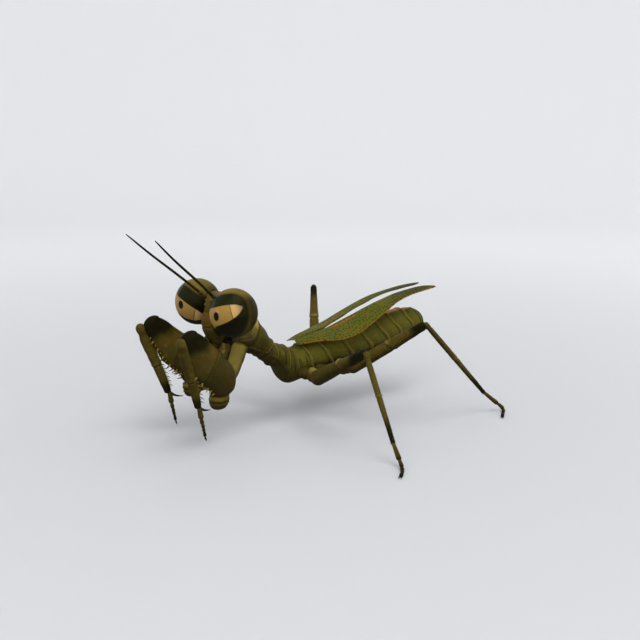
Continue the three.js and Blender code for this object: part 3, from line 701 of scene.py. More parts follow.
def mouthPieces(side, sideName):
    jaw = tube(**mouthShape["jaw"])
    jaw.push(0.04 * grain(jaw.points, 1.0, 12) - 0.12 * bell(jaw.u, 0.35, 0.05))
    jaw.mark(dark=0.6 + 0.4 * rise(jaw.u, 0.6, 0.9), edge=0.6 * bell(jaw.u, 0.35, 0.05))
    Skin().add(jaw, side).build(f"mandible_{sideName}", shellFinish, "shell")
    palp = tube(**mouthShape["outerPalp"])
    pinch = sum(bell(palp.u, place, 0.02) for place in mouthShape["outerJoints"])
    palp.push(-0.12 * pinch).mark(pale=0.9, edge=0.5 * pinch)
    # the shorter inner pair lies between them
    inner = tube(**mouthShape["innerPalp"])
    inner.push(-0.09 * sum(bell(inner.u, place, 0.02) for place in mouthShape["innerJoints"]))
    inner.mark(pale=0.9, edge=0.5 * bell(inner.u, 0.4, 0.02))
    Skin().add(palp, side).add(inner, side).build(f"palp_{sideName}", legFinish, "feeler")


headPieces()
print("head made")


chestShape = {
    "path": ((0, -31.0, 25.6), (0, -28.6, 25.8), (0, -25.0, 25.2), (0, -21.0, 22.7),
             (0, -17.0, 19.0), (0, -15.4, 18.0)),
    "wide": (3.0, 4.1, 3.9, 3.3, 3.0, 3.0), "high": (2.4, 3.3, 3.5, 3.0, 2.6, 2.6),
    "neck": ((0, -32.2, 31.8), (0, -29.6, 29.6), (0, -27.0, 27.0)),
    "shield": ((0, -30.1, 26.5), (0, -27.0, 27.3), (0, -24.1, 25.8), (0, -20.6, 23.0),
               (0, -17.7, 20.0)),
    "shieldWide": (4.8, 4.8, 4.3, 3.4, 3.0), "shieldHigh": (5.1, 6.15, 4.35, 3.15, 3.2),
    "shieldCut": (0, -23.2, 22.1), "shieldThick": 0.55, "shieldEnd": 0.84,
    "hip": (3.8, -28.3, 25.9), "hipSize": (2.3, 3.3, 2.4),
}


def folds(form, pitch, lean, seed, length, hook=0.0):
    # overlapping folds that rise slowly and drop sharply, every second one weaker; besides the height it
    # gives a painted highlight along each crest and a painted shadow behind it
    sway = grain(form.points, 5.0, seed) * 0.09
    phase = form.u * length / pitch + lean * np.maximum(np.cos(form.turn), -0.3) + sway
    phase = phase + hook * np.maximum(-0.1 - np.cos(form.turn), 0)
    part = phase - np.floor(phase)
    strength = 0.78 + 0.22 * np.cos(math.pi * np.floor(phase))
    height = strength * part ** 1.4 * (1 - rise(part, 0.93, 1.0))
    shadow = np.maximum(rise(0.44 - part, 0, 0.2), rise(part, 0.96, 1.0))
    return height, strength * bell(part, 0.88, 0.1), strength * shadow


def foreBody():
    route = Route(chestShape["path"])
    chest = tube(chestShape["path"], chestShape["wide"], chestShape["high"], rows=150, sides=110,
                 back=0.3)
    low = rise(-np.cos(chest.turn), -0.1, 0.7)
    height, crestHighlight, shadow = folds(chest, 1.25, 0.5, 21, route.length)
    high = rise(np.cos(chest.turn), -0.1, 0.6)
    chest.push(0.3 * height * rise(chest.u, 0.3, 0.5) + 0.2 * height * low - 0.05 - 1.1 * high
               + 0.05 * grain(chest.points, 1.2, 22))
    # painted light: the lower side is shaded, fold crests get a painted highlight and the hollows behind
    # them painted shadow
    chest.mark(under=0.6 * low, pale=0.35 * crestHighlight * rise(chest.u, 0.3, 0.6), edge=0.5 * shadow)
    neck = tube(chestShape["neck"], (2.75, 2.65, 2.85), rows=70, sides=80)
    height, crestHighlight, shadow = folds(neck, 0.95, 0.0, 23, 6.7)
    # painted light: a painted highlight on the neck's fold crests and painted shade in the hollows
    # between them
    neck.push(0.22 * height - 0.08).mark(pale=0.6 * crestHighlight, under=0.4 * (1 - height))
    skin = Skin().add(chest).add(neck)
    for side in (1, -1):
        # the swelling that carries the hip of each grasping leg
        lobe = ballForm(chestShape["hip"], chestShape["hipSize"], 60, 80)
        ridge = bell(lobe.u, 0.15, 0.1)
        lobe.push(0.1 * ridge + 0.06 * grain(lobe.points, 1.6, 25))
        upward = rise(lobe.u, -0.2, 0.5)
        # painted light: the lobe's top is painted paler and its lower part darker
        lobe.mark(dark=0.4 * (1 - upward), pale=0.3 * upward + 0.3 * ridge,
                  edge=0.6 * bell(lobe.u, 0.0, 0.05))
        skin.add(lobe, side)
    skin.build("foreBody", softFinish, "membrane", ["neck", "prothorax"])


def shield():
    # a curved plate whose lower edges lie on a slanting plane through the fore body
    route = Route(chestShape["shield"])
    rows, columns = 130, 110
    end = chestShape["shieldEnd"]
    u = np.linspace(0.0, end, rows)
    tangent, across, over = frameAlong(route, u, (0, 0, 1))
    centre = route.at(u)
    first, later = np.array(chestShape["path"][1]), np.array(chestShape["path"][3])
    slant = math.atan2(later[2] - first[2], later[1] - first[1])
    cutNormal = np.array([0, -math.sin(slant), math.cos(slant)])
    wide = along(chestShape["shieldWide"], u) * (1 - 0.12 * rise(0.09 - u, 0, 0.09))
    high = along(chestShape["shieldHigh"], u) * (1 - 0.16 * rise(0.09 - u, 0, 0.09))
    level = (centre - np.array(chestShape["shieldCut"])) @ cutNormal
    limit = np.arccos(np.clip(-level / (high * (over @ cutNormal)), -0.95, 0.95))
    share = np.linspace(-1, 1, columns)[None, :]
    angle = limit[:, None] * share
    # the front edge is scooped out over the nape
    scoop = 0.7 * bell(angle, 0, 0.8) * (1 - rise(u, 0, 0.4))[:, None]

    def surface(inward):
        x = (wide - inward)[:, None] * np.sin(angle)
        z = (high - inward)[:, None] * np.cos(angle)
        points = centre[:, None] + across[:, None] * x[..., None] + over[:, None] * z[..., None]
        return points + tangent[:, None] * scoop[..., None]

    outer = Form(surface(0.1), u[:, None] + 0 * share, angle, wrap=False)
    rim = np.maximum(bell(np.abs(share), 0.965, 0.03) + 0 * outer.u, bell(outer.u, 0.025, 0.02))
    rim = np.maximum(rim, bell(outer.u, end - 0.015, 0.015))
    groove = bell(outer.u + 0.05 * np.cos(angle * 1.2), 0.4, 0.022)
    collar = bell(outer.u, 0.1, 0.11)
    collarCrease = bell(outer.u, 0.235, 0.018)
    keel = bell(angle, 0, 0.05) * rise(outer.u, 0.24, 0.3) * rise(end - 0.02 - outer.u, 0, 0.06)
    saddle = bell(np.abs(angle), 0.75, 0.3) * bell(outer.u, 0.2, 0.1)
    beads = np.maximum(grain(outer.points, 0.9, 31, 8), 0) * rise(np.abs(share), 0.45, 0.8)
    lift = 0.24 * rim - 0.2 * groove + 0.13 * keel - 0.14 * saddle + 0.14 * beads
    lift = lift + 0.42 * collar - 0.2 * collarCrease
    lift = lift + 0.1 * grain(outer.points, 3.2, 32)
    normal = outer.normals()
    if (normal[:, columns // 2, 2]).mean() < 0:
        normal = -normal
    top = outer.points + normal * lift[..., None]
    bottom = surface(0.1 + chestShape["shieldThick"])
    loop = np.concatenate([top, bottom[:, ::-1]], 1)

    def both(values):
        # the marks lie on the outer face only
        return np.concatenate([values, 0 * values], 1)

    form = Form(loop, both(outer.u), both(outer.turn))
    # the front collar is paler, more so on top: its own tan colour with a painted highlight; under
    # darkens the lower edges, painted shade
    front = rise(0.38 - outer.u, 0, 0.04) * (0.4 + 0.55 * rise(np.cos(angle), 0.3, 0.7))
    form.mark(pale=both(0.4 * rim + front + 0.2 * keel),
              dark=both(0.25 * collarCrease),
              warm=both(0.3 * bell(np.abs(share), 0.93, 0.05) + 0 * outer.u),
              under=both(0.3 * rise(np.abs(share), 0.75, 1.0) + 0 * outer.u),
              edge=both(0.55 * groove + 0.4 * collarCrease))
    Skin().add(form, ends="stitch").build("pronotumShield", middleFinish, "shell", ["pronotum"])


middleShape = {
    "top": ((0, -18.3, 23.7), (0, -15.4, 22.8), (0, -12.7, 21.65), (0, -11.3, 20.8), (0, -10.1, 20.2),
            (0, -7.4, 21.1)),
    "foot": ((0, -20.2, 18.9), (0, -17.0, 16.0), (0, -15.0, 12.0), (0, -12.6, 10.2),
             (0, -9.5, 10.45), (0, -6.45, 11.2)),
    "wide": (2.8, 4.6, 4.75, 5.1, 5.0, 5.1),
    "rows": 300, "sides": 170, "folds": 7, "foldLean": 0.3, "foldHook": 1.6, "foldHeight": 0.62,
}


def middleBody():
    # sections stand between a line along the back and a line along the breast
    shape = middleShape
    back, breast = Route(shape["top"]), Route(shape["foot"])
    t = np.linspace(0, 1, shape["rows"])
    u = t - 0.12 * np.sin(2 * math.pi * t)
    over, below = back.raw(u * back.count), breast.raw(u * breast.count)
    close = np.sqrt(np.clip(u / 0.012, 0.02, 1) * np.clip((1 - u) / 0.008, 0.02, 1))[:, None]
    angle = np.linspace(0, 2 * math.pi, shape["sides"], endpoint=False)[None, :]
    half = (over - below)[:, None] / 2 * (close * np.cos(angle))[..., None]
    across = close * along(shape["wide"], u)[:, None] * np.sin(angle)
    points = (over + below)[:, None] / 2 + half + across[..., None] * np.array([1, 0, 0])
    form = Form(points, u[:, None] + 0 * angle, angle + 0 * u[:, None])
    upness = np.cos(form.turn)
    height, crestHighlight, shadow = folds(form, 1.0, shape["foldLean"], 41, shape["folds"], shape["foldHook"])
    flankLine = -0.34 + 0.12 * form.u
    upper = rise(upness, flankLine - 0.3, flankLine + 0.2)
    plateLine = bell(upness, -0.66, 0.04)
    flank = bell(upness, flankLine - 0.2, 0.2)
    lines = grain(form.points * (1, 0.35, 1), 0.8, 44, 8)
    ends = rise(form.u, 0.0, 0.04) * rise(1 - form.u, 0, 0.02)
    lift = -0.3 + ends * (upper * (shape["foldHeight"] * height - 0.15) + 0.07 * flank * lines
                          - 0.14 * plateLine + 0.04 * grain(form.points, 1.4, 42))
    form.push(lift)
    # painted light: a painted highlight on fold crests and a painted highlight line low on the flank,
    # painted shadow behind the crests, and painted shade on the lower side
    form.mark(pale=0.42 * crestHighlight * upper + 0.15 * bell(upness, -0.58, 0.05),
              under=0.35 * rise(-upness, 0.15, 0.7) + 0.2 * (1 - upper),
              edge=upper * 0.6 * shadow + 0.45 * plateLine + 0.4 * flank * rise(-lines, 0.1, 0.8))
    Skin().add(form).build("middleBody", middleFinish, "shell", ["mesothorax", "metathorax"])


foreBody()
shield()
middleBody()
print("fore and middle body made")


bellyShape = {
    "path": ((0, -11.0, 15.7), (0, -5.2, 16.4), (0, 2.6, 17.5), (0, 9.3, 18.5), (0, 16.3, 19.5),
             (0, 22.9, 20.6), (0, 28.4, 21.5), (0, 33.5, 22.3), (0, 40.2, 22.9)),
    "ends": (-11.0, -6.2, 0.3, 7.6, 14.8, 21.5, 27.0, 32.4, 36.4, 40.05),
    "wide": (4.8, 5.2, 5.7, 5.95, 5.95, 5.7, 5.15, 4.5, 2.6),
    "high": (4.7, 5.2, 5.65, 5.8, 5.85, 6.0, 5.85, 5.05, 2.6),
    "flat": 0.85, "lean": 0.16, "rowsEach": 34, "sides": 200,
    # the raised lip behind each ring starts and ends here, with a crease ahead of its top
    "lip": (0.76, 0.88), "lipHeight": 0.06, "crease": 0.785,
    "cercus": ((2.2, 37.2, 21.6), (2.5, 38.5, 21.2), (2.5, 39.6, 21.1)),
    "cercusWide": (0.5, 0.52, 0.42, 0.18), "cercusRings": 8,
}


def bellyU(route, y):
    # how far along the abdomen a place on the middle line lies
    u = np.linspace(0, 1, 2000)
    return np.interp(y, route.at(u)[:, 1], u)


def abdomen():
    route = Route(bellyShape["path"])
    ends = bellyU(route, np.array(bellyShape["ends"]))
    shares, parts = [], []
    for start, end in zip(ends[:-1], ends[1:]):
        t = np.linspace(0, 1, bellyShape["rowsEach"], endpoint=False)
        shares.append(start + (end - start) * t)
        parts.append(t)
    u = np.concatenate(shares)
    part = np.concatenate(parts)[:, None]
    ring = np.repeat(np.arange(len(ends) - 1), bellyShape["rowsEach"])[:, None]
    angle = np.linspace(0, 2 * math.pi, bellyShape["sides"], endpoint=False)[None, :]
    upness = np.cos(angle)
    last = (ring == len(ends) - 2)
    # a ring starts narrow inside the one before it and flares to a lip behind
    lipShift = 0.045 * np.sin(np.abs(np.sin(angle / 2)) * 11 + ring * 0.5)
    lipShift = lipShift + 0.014 * np.sin(angle * 9 + ring)
    phase = part + lipShift * rise(part, 0.5, 0.9)
    flare = 0.885 + 0.075 * rise(phase, 0.08, 0.45) + 0.015 * rise(phase, 0.4, 0.8)
    flare = flare + bellyShape["lipHeight"] * rise(phase, *bellyShape["lip"])
    flare = flare - 0.15 * rise(phase, 0.97, 1.0)
    tail = 0.93 + 0.04 * rise(part, 0, 0.3) - 0.97 * rise(part, 0.35, 1.12) ** 1.3
    scale = np.where(last, tail, flare)
    wide = along(bellyShape["wide"], u)[:, None]
    high = along(bellyShape["high"], u)[:, None]
    x = np.sin(angle) * wide * scale
    z = upness * high * scale * np.where(upness < 0, bellyShape["flat"], 1)
    centre = route.at(u)
    sweep = (rise(u, 0.05, 0.2) * rise(0.97 - u, 0, 0.25))[:, None]
    lean = bellyShape["lean"] + 0.42 * rise(upness, -0.6, 0.6) * sweep
    y = centre[:, 1:2] - upness * lean * high * scale
    # each ring bulges back a little at mid height
    y = y + 0.55 * np.sin(angle) ** 2 * rise(part, 0.2, 1) * np.where(last, 0.2, 1)
    points = np.stack([x, y, centre[:, 2:3] + z], -1)
    form = Form(points, u[:, None] + 0 * angle, angle + 0 * part)
    flankLine = bell(upness, -0.42, 0.035)
    stripes = grain(form.points * (6, 0.9, 6), 3.0, 51, 8)
    spiracle = np.exp(-(((upness + 0.2) / 0.05) ** 2) - ((part - 0.3) / 0.05) ** 2)
    keel = bell(np.sin(angle), 0, 0.06) * (upness > 0)
    form.push(-0.22 * flankLine + 0.025 * stripes - 0.12 * spiracle + 0.08 * keel * rise(part, 0.1, 0.3)
              + 0.12 * bell(upness, -0.5, 0.05))
    lip = rise(phase, 0.8, 0.88) * rise(1.0 - phase, 0, 0.02) * (~last)
    # painted shadow where each ring starts under the lip of the one before
    shadow = np.where(ring > 0, rise(0.2 - part, 0, 0.15), 0)
    crease = bell(phase, bellyShape["crease"], 0.022) * (~last)
    dorsal = rise(upness, 0.93, 0.985) * (1 - rise(form.u, 0.84, 0.92))
    # painted shade: the underside is darker, partly its own browner tone, and darkest at the bottom
    form.mark(
        pale=0.55 * lip * rise(upness, -0.5, -0.2) + 0.15 * bell(part, 0.5, 0.3),
        warm=0.95 * dorsal * rise(form.u, 0.45, 0.62) + 0.3 * rise(-upness, 0.1, 0.45),
        under=0.9 * rise(-upness, 0.08, 0.45) + 0.25 * rise(-upness, -0.3, 0.1),
        dark=0.2 * shadow + 0.7 * spiracle + 0.25 * rise(-upness, 0.75, 1.0)
        + 0.42 * rise(form.u, 0.84, 0.95),
        edge=0.32 * shadow ** 0.8 + 0.6 * flankLine + 0.75 * crease,
    )
    Skin().add(form).build("abdomen", bellyFinish, "belly", [f"abdomen_{i}" for i in range(1, 9)])
    for sign, sideName in ((1, "left"), (-1, "right")):
        cercus = tube(bellyShape["cercus"], bellyShape["cercusWide"], rows=60, sides=18)
        beat = np.abs(np.sin(cercus.u * math.pi * bellyShape["cercusRings"]))
        cercus.push(0.07 * beat - 0.05).mark(pale=0.3, edge=0.6 * rise(0.25 - beat, 0, 0.25))
        Skin().add(cercus, sign).build(f"cercus_{sideName}", feelerFinish, "feeler")


abdomen()
print("abdomen made")


wingShape = {
    "inner": ((0.25, -9.3, 22.5), (0.25, -4.0, 23.6), (0.4, 1.5, 24.65), (0.8, 7.0, 26.5),
              (1.5, 14.0, 29.0), (1.7, 20.5, 31.0), (1.7, 27.1, 32.5), (1.6, 33.0, 33.2),
              (1.9, 38.4, 33.6), (3.5, 41.8, 33.7)),
    "outer": ((2.9, -9.9, 21.8), (5.6, -3.7, 22.5), (8.4, 2.0, 22.8), (9.2, 7.3, 23.9),
              (8.8, 12.3, 26.0), (7.7, 19.0, 28.9), (6.4, 24.5, 30.9), (5.5, 30.0, 32.2),
              (5.1, 36.6, 33.0), (4.3, 41.9, 33.5)),
    "arch": 0.05,
    # veins and strong veins stand at shares of the width, span is the part of the length
    "fore": {"span": (0, 1), "drop": 0, "inset": 0, "thick": 0.42, "rows": 330, "columns": 110,
             "veins": (0.07, 0.2, 0.32, 0.44, 0.55, 0.66, 0.78, 0.88),
             "strong": (0.2, 0.44, 0.66, 0.88), "crossings": 34, "seed": 61},
    "hind": {"span": (0.16, 0.62), "drop": 0.84, "inset": 0.23, "thick": 0.3, "rows": 220,
             "columns": 80, "veins": (0.12, 0.25, 0.38, 0.5, 0.62, 0.75, 0.88),
             "strong": (0.25, 0.5, 0.75), "crossings": 22, "seed": 67},
}
wingMarks = ("vein", "costa", "streak", "inward", "tip", "farness", "acrossness")


def wingSheet(part):
    # a thin closed sheet between the two edge lines of the wing, with raised veins
    inner = Route(wingShape["inner"])
    outer = Route(wingShape["outer"])
    rows, columns = part["rows"], part["columns"]
    t = np.linspace(0, 1, rows)[:, None]
    share = np.linspace(0, 1, columns)[None, :]
    start, end = part["span"]
    u = start + (end - start) * t[:, 0]
    inset = part["inset"] * (1 + 0.7 * rise(t, 0.4, 1))
    v = inset + (1 - 2 * inset) * share
    a = inner.at(u)
    chord = outer.at(u) - a
    normal = unit(np.cross(chord, inner.heading(u) + outer.heading(u)))[:, None]
    width = np.linalg.norm(chord, axis=1, keepdims=True)
    lift = wingShape["arch"] * width * np.sin(math.pi * v) - part["drop"]
    sheet = a[:, None] + chord[:, None] * v[..., None] + normal * lift[..., None]
    vein = np.zeros((rows, columns))
    for place in part["veins"]:
        # every vein bows a little along the wing
        strong = place in part["strong"]
        line = place + 0.02 * np.sin(t * 5 + place * 9)
        half = (0.16 if strong else 0.1) / np.maximum(width, 1.2)
        vein = np.maximum(vein, bell(share, line, half) * (1.0 if strong else 0.6))
    draw = np.random.default_rng(part["seed"])
    crossing = np.zeros((rows, columns))
    borders = (0.0, *part["veins"], 1.0)
    length = inner.length * (end - start)
    for low, high in zip(borders[:-1], borders[1:]):
        within = rise(share, low, low + 0.01) * rise(high - share, 0, 0.01)
        for place in np.linspace(0.03, 0.97, part["crossings"]):
            spot = place + draw.uniform(-0.4, 0.4) / part["crossings"]
            line = spot + draw.uniform(-0.03, 0.05) * (share - low)
            crossing = np.maximum(crossing, within * bell(t, line, 0.1 / length) * 0.55)
    fade = rise(t, 0, 0.05) * rise(1 - t, 0, 0.06)
    edgeSoft = np.sqrt(np.clip(1 - (2 * share - 1) ** 16, 0, 1))
    tipSoft = np.sqrt(np.clip(1 - (2 * t - 1) ** 30, 0, 1))
    half = part["thick"] / 2 * (0.25 + 0.75 * edgeSoft * tipSoft)
    bow = 0.1 * grain(sheet, 9.0, part["seed"] + 1)
    top = sheet + normal * (half + bow + (0.09 * vein + 0.035 * crossing) * fade)[..., None]
    under = sheet - normal * (half - bow + 0.05 * vein * fade)[..., None]
    return {"faces": (top, under), "t": t, "share": share, "width": width,
            "marks": {"vein": np.maximum(vein, crossing), "farness": t * length + 0 * share,
                      "acrossness": share * width}}


def wingPiece(name, sheet, marks, finish, side):
    top, under = sheet["faces"]
    loop = np.concatenate([top, under[:, ::-1]], 1)
    u = np.zeros(loop.shape[:2])
    form = Form(loop, u, u)
    for markName, values in {**sheet["marks"], **marks}.items():
        form.mark(**{markName: np.concatenate([values, values[:, ::-1]], 1)})
    Skin(wingMarks).add(form, side, "stitch").build(name, finish, "wing")


wingLook = {
    "base": olive(95, 91, 14), "other": olive(83, 87, 18), "deep": olive(66, 66, 11),
    "vein": olive(100, 98, 32), "costa": olive(134, 88, 32), "streak": olive(176, 92, 28),
    "dot": olive(30, 34, 10), "brown": olive(56, 52, 16), "dotPitch": 1.12,
    "gleam": (1.0, 0.9, 0.5, 1.0),
}


def makeWingFinish(name, look):
    f = Finish(name)
    vein, costa, streak, inward, tip, farness, acrossness = (f.mark(n) for n in wingMarks)
    spread = f.node("ShaderNodeCombineXYZ", None, {0: farness, 1: acrossness})

    def spots(pitch, size, soft):
        spot = f.node("ShaderNodeTexVoronoi", {"voronoi_dimensions": "2D"},
                      {"Vector": spread, "Scale": 1 / pitch, "Randomness": 0.75}, "Distance")
        return 1 - f.step(spot, size, size + soft)

    broad = f.noise(220.0, 2.0)
    fine = f.noise(1700.0, 4.0, 0.7)
    jitter = (fine - 0.5) * 0.5
    dots = spots(look["dotPitch"], 0.18, 0.06)
    small = spots(look["dotPitch"] * 0.55, 0.12, 0.1)
    colour = f.layers(look, look["base"], (
        ("other", f.step(broad, 0.35, 0.65)),
        ("deep", f.step(fine, 0.52, 0.7) * 0.3),
        ("brown", f.step(tip + (broad - 0.5), 0.1, 0.9) * 0.75),
        ("vein", f.step(vein, 0.25, 0.8) * 0.3),
        ("streak", f.step(streak + jitter, 0.3, 0.7) * 0.9),
        ("costa", f.step(costa + jitter, 0.35, 0.7) * 0.85),
        ("dot", (dots * 0.9).atLeast(small * 0.2) * (1 - inward * 0.35))))
    height = fine * 0.5 + f.cells(2600.0) * 0.8 - dots * 0.6
    roughness = 0.5 + (fine - 0.5) * 0.15 - vein * 0.06
    return f.finish(colour, roughness, height, 0.00006,
                    {"Specular IOR Level": 0.08, "Specular Tint": look["gleam"]})


wingFinish = makeWingFinish("foreWingLeather", wingLook)
hindWingFinish = makeWingFinish("hindWingMembrane", {
    **wingLook, "base": olive(112, 108, 58), "other": olive(96, 92, 48), "deep": olive(84, 78, 40),
    "vein": olive(66, 60, 30), "dotPitch": 1.3})


def wings():
    fore, hind = wingSheet(wingShape["fore"]), wingSheet(wingShape["hind"])
    t, share, width = fore["t"], fore["share"], fore["width"]
    # an orange line follows the outer edge, broken by dark spots, and a streak the inner one
    spots = rise(np.sin(t * 118) + 0.4 * np.sin(t * 47), 0.9, 1.2)
    costa = rise(0.35 - (1 - share) * width, 0, 0.18) * rise(t, 0.0, 0.03)
    streak = bell(share * width, 0.9 + 0.9 * bell(t, 0.3, 0.12), 0.34)
    marks = {"costa": costa - 1.2 * spots * costa, "tip": 1.2 * rise(t, 0.5, 0.9) + 0 * share,
             "streak": streak * rise(t, 0.17, 0.26) * rise(0.46 - t, 0, 0.1)}
    hindMarks = {"inward": 1 + 0 * hind["marks"]["vein"]}
    for side, sideName in ((1, "left"), (-1, "right")):
        wingPiece(f"forewing_{sideName}", fore, marks, wingFinish, side)
        wingPiece(f"hindwing_{sideName}", hind, hindMarks, hindWingFinish, side)


wings()
print("wings made")


def rings(u, *bands):
    # raised or sunk bands round a limb: (place, half width, height)
    return sum(height * bell(u, place, width) for place, width, height in bands)


def thorn(skin, root, heading, length, radius, side=1, sink=0.5, bend=(0, 0, 0)):
    # a curved spine with a dark point, its root sunk into the limb
    heading = unit(heading)
    bend = np.array(bend) * length
    root = np.array(root) - heading * sink
    whole = heading * (length + sink)
    widths = (radius, radius * 0.82, radius * 0.5, radius * 0.12)
    form = tube([root, root + whole * 0.55 + bend * 0.06, root + whole + bend * 0.22], widths, rows=9,
                sides=9, front=0.3, back=0.6, capRows=3, up=(0.3, 0.2, 1))
    form.mark(dark=rise(form.u, 0.86, 1.0), pale=0.75 * (1 - rise(form.u, 0.6, 0.95)),
              edge=0.6 * bell(form.u, sink / (length + sink), 0.1))
    skin.add(form, side)


class Limb:
    # remembers a leg joint's line and sizes, so that spines stand on its skin
    def __init__(self, path, wide, high=None, up=(0, 0, 1), **more):
        self.route = Route(path)
        self.wide = wide
        self.high = wide if high is None else high
        self.up = up
        self.form = tube(path, self.wide, self.high, up=up, **more)

    def on(self, u, angle, depth=0.9):
        # a place on the skin, and the directions along, across and over the limb there
        tangent, across, over = frameAlong(self.route, [u], self.up)
        x = math.sin(angle) * along(self.wide, u) * depth
        z = math.cos(angle) * along(self.high, u) * depth
        place = self.route.at(u)[0] + across[0] * x + over[0] * z
        return place, tangent[0], across[0], over[0]

    def spineRow(self, skin, row, draw, side):
        # every second spine has the second length and radius
        for i in range(row["count"]):
            f = i / (row["count"] - 1)
            (start, end), (turn, lastTurn) = row["places"], row["turns"]
            spot, *axes = self.on(start + (end - start) * f, turn + (lastTurn - turn) * f)
            length = row["lengths"][i % 2]
            if row["spread"]:
                length = length * draw.uniform(1 - row["spread"], 1 + row["spread"])
            heading, bend = (sum(share * axis for share, axis in zip(row[key], axes))
                             for key in ("heading", "bend"))
            thorn(skin, spot, heading, length, row["radii"][i % 2], side, bend=bend)

    def spurs(self, skin, place, spread, lean, length, radius):
        # a pair of short spines under the end of the limb
        for turn in (-spread, spread):
            spot, tangent, _, over = self.on(place, math.pi + turn)
            thorn(skin, spot, tangent - lean * over, length, radius)


graspShape = {
    "up": (0, -1, -0.6),
    "coxa": ((4.7, -29.5, 26.0), (4.4, -31.8, 19.6), (4.6, -35.1, 13.4)),
    "coxaWide": (1.95, 1.9, 1.6), "coxaHigh": (2.3, 2.0, 1.6),
    "barrel": ((7.0, -38.0, 9.3), (7.3, -38.3, 11.2), (7.65, -38.3, 13.9)),
    "barrelWide": (1.9, 2.2, 2.2), "barrelHigh": (2.2, 2.8, 2.8),
    "link": ((4.8, -35.2, 13.2), (7.0, -37.6, 11.8)), "linkWide": (1.5, 1.8),
    "thigh": ((7.7, -37.3, 12.95), (8.4, -38.5, 17.4), (9.5, -42.5, 22.1), (10.4, -46.1, 27.0),
              (11.0, -49.5, 31.85)),
    "thighWide": (2.1, 2.6, 2.6, 2.25, 1.8), "thighHigh": (3.0, 4.2, 4.9, 3.8, 2.4),
    "shank": ((11.3, -51.3, 30.8), (11.3, -50.5, 28.4), (10.3, -48.6, 22.6), (9.2, -46.6, 16.2),
              (8.5, -45.2, 11.0)),
    "shankWide": (1.0, 1.2, 1.1, 1.0, 0.8), "shankHigh": (1.15, 1.5, 1.4, 1.25, 0.95),
    "claw": ((8.6, -45.6, 12.4), (8.5, -44.6, 10.9), (8.0, -42.9, 10.0), (7.7, -41.2, 9.7)),
    "clawWide": (0.7, 0.46, 0.26, 0.08),
    "foot": ((8.5, -45.0, 11.6), (8.5, -44.4, 7.9), (8.5, -43.8, 5.1), (8.45, -43.4, 2.9)),
    "footRadius": (0.78, 0.4),
    # the right leg is held a little differently: (shift, share of it at each point)
    "rightShift": {"coxa": ((0, 2.2, 0), (1.0, 0.42, 0.0)),
                   "thigh": ((-0.1, 0.3, 0.7), (0.0, 0.7, 1.0, 0.7, 0.0)),
                   "shank": ((0, -0.55, 0), (1.0, 0.9, 0.7, 0.4, 0.0))},
    "coxaRings": ((0.9, 0.03, 0.16), (0.945, 0.018, -0.2)),
    "barrelRings": ((0.62, 0.05, 0.12), (0.5, 0.03, -0.2), (0.42, 0.04, 0.1)),
    "shankRings": ((0.07, 0.05, 0.12), (0.6, 0.012, -0.14), (0.575, 0.02, 0.1)),
    # heading and bend are shares of the directions along, across and over the thigh
    "spines": ({"count": 5, "places": (0.1, 0.52), "turns": (0.4, 0.4), "lengths": (2.4, 2.4),
                "spread": 0.1, "radii": (0.32, 0.32), "heading": (-0.3, 0.3, 1), "bend": (1, 0, -0.7)},
               {"count": 13, "places": (0.17, 0.83), "turns": (-0.42, -0.42), "lengths": (1.4, 2.3),
                "spread": 0.12, "radii": (0.22, 0.28), "heading": (-0.25, -0.5, 1),
                "bend": (1, 0, -0.6)},
               {"count": 4, "places": (0.2, 0.35), "turns": (-0.12, 0.12), "lengths": (1.6, 1.95),
                "spread": 0, "radii": (0.28, 0.28), "heading": (0.2, -0.1, 1), "bend": (1, 0, 0)}),
    "coxaSpines": {"count": 9, "start": 0.2, "end": 0.85, "length": 0.35, "radius": 0.16},
    "shankSpines": {"count": 13, "start": 0.2, "reach": 0.68, "length": 0.75, "growth": 0.85,
                    "radius": 0.22, "turn": 0.5},
}


def graspPart(name, side, **more):
    shape = graspShape
    path = np.array(shape[name])
    if side < 0:
        shift, shares = shape["rightShift"][name]
        path = path + np.array(shift) * np.array(shares)[:, None]
    return Limb(path, shape[name + "Wide"], shape[name + "High"], **more)


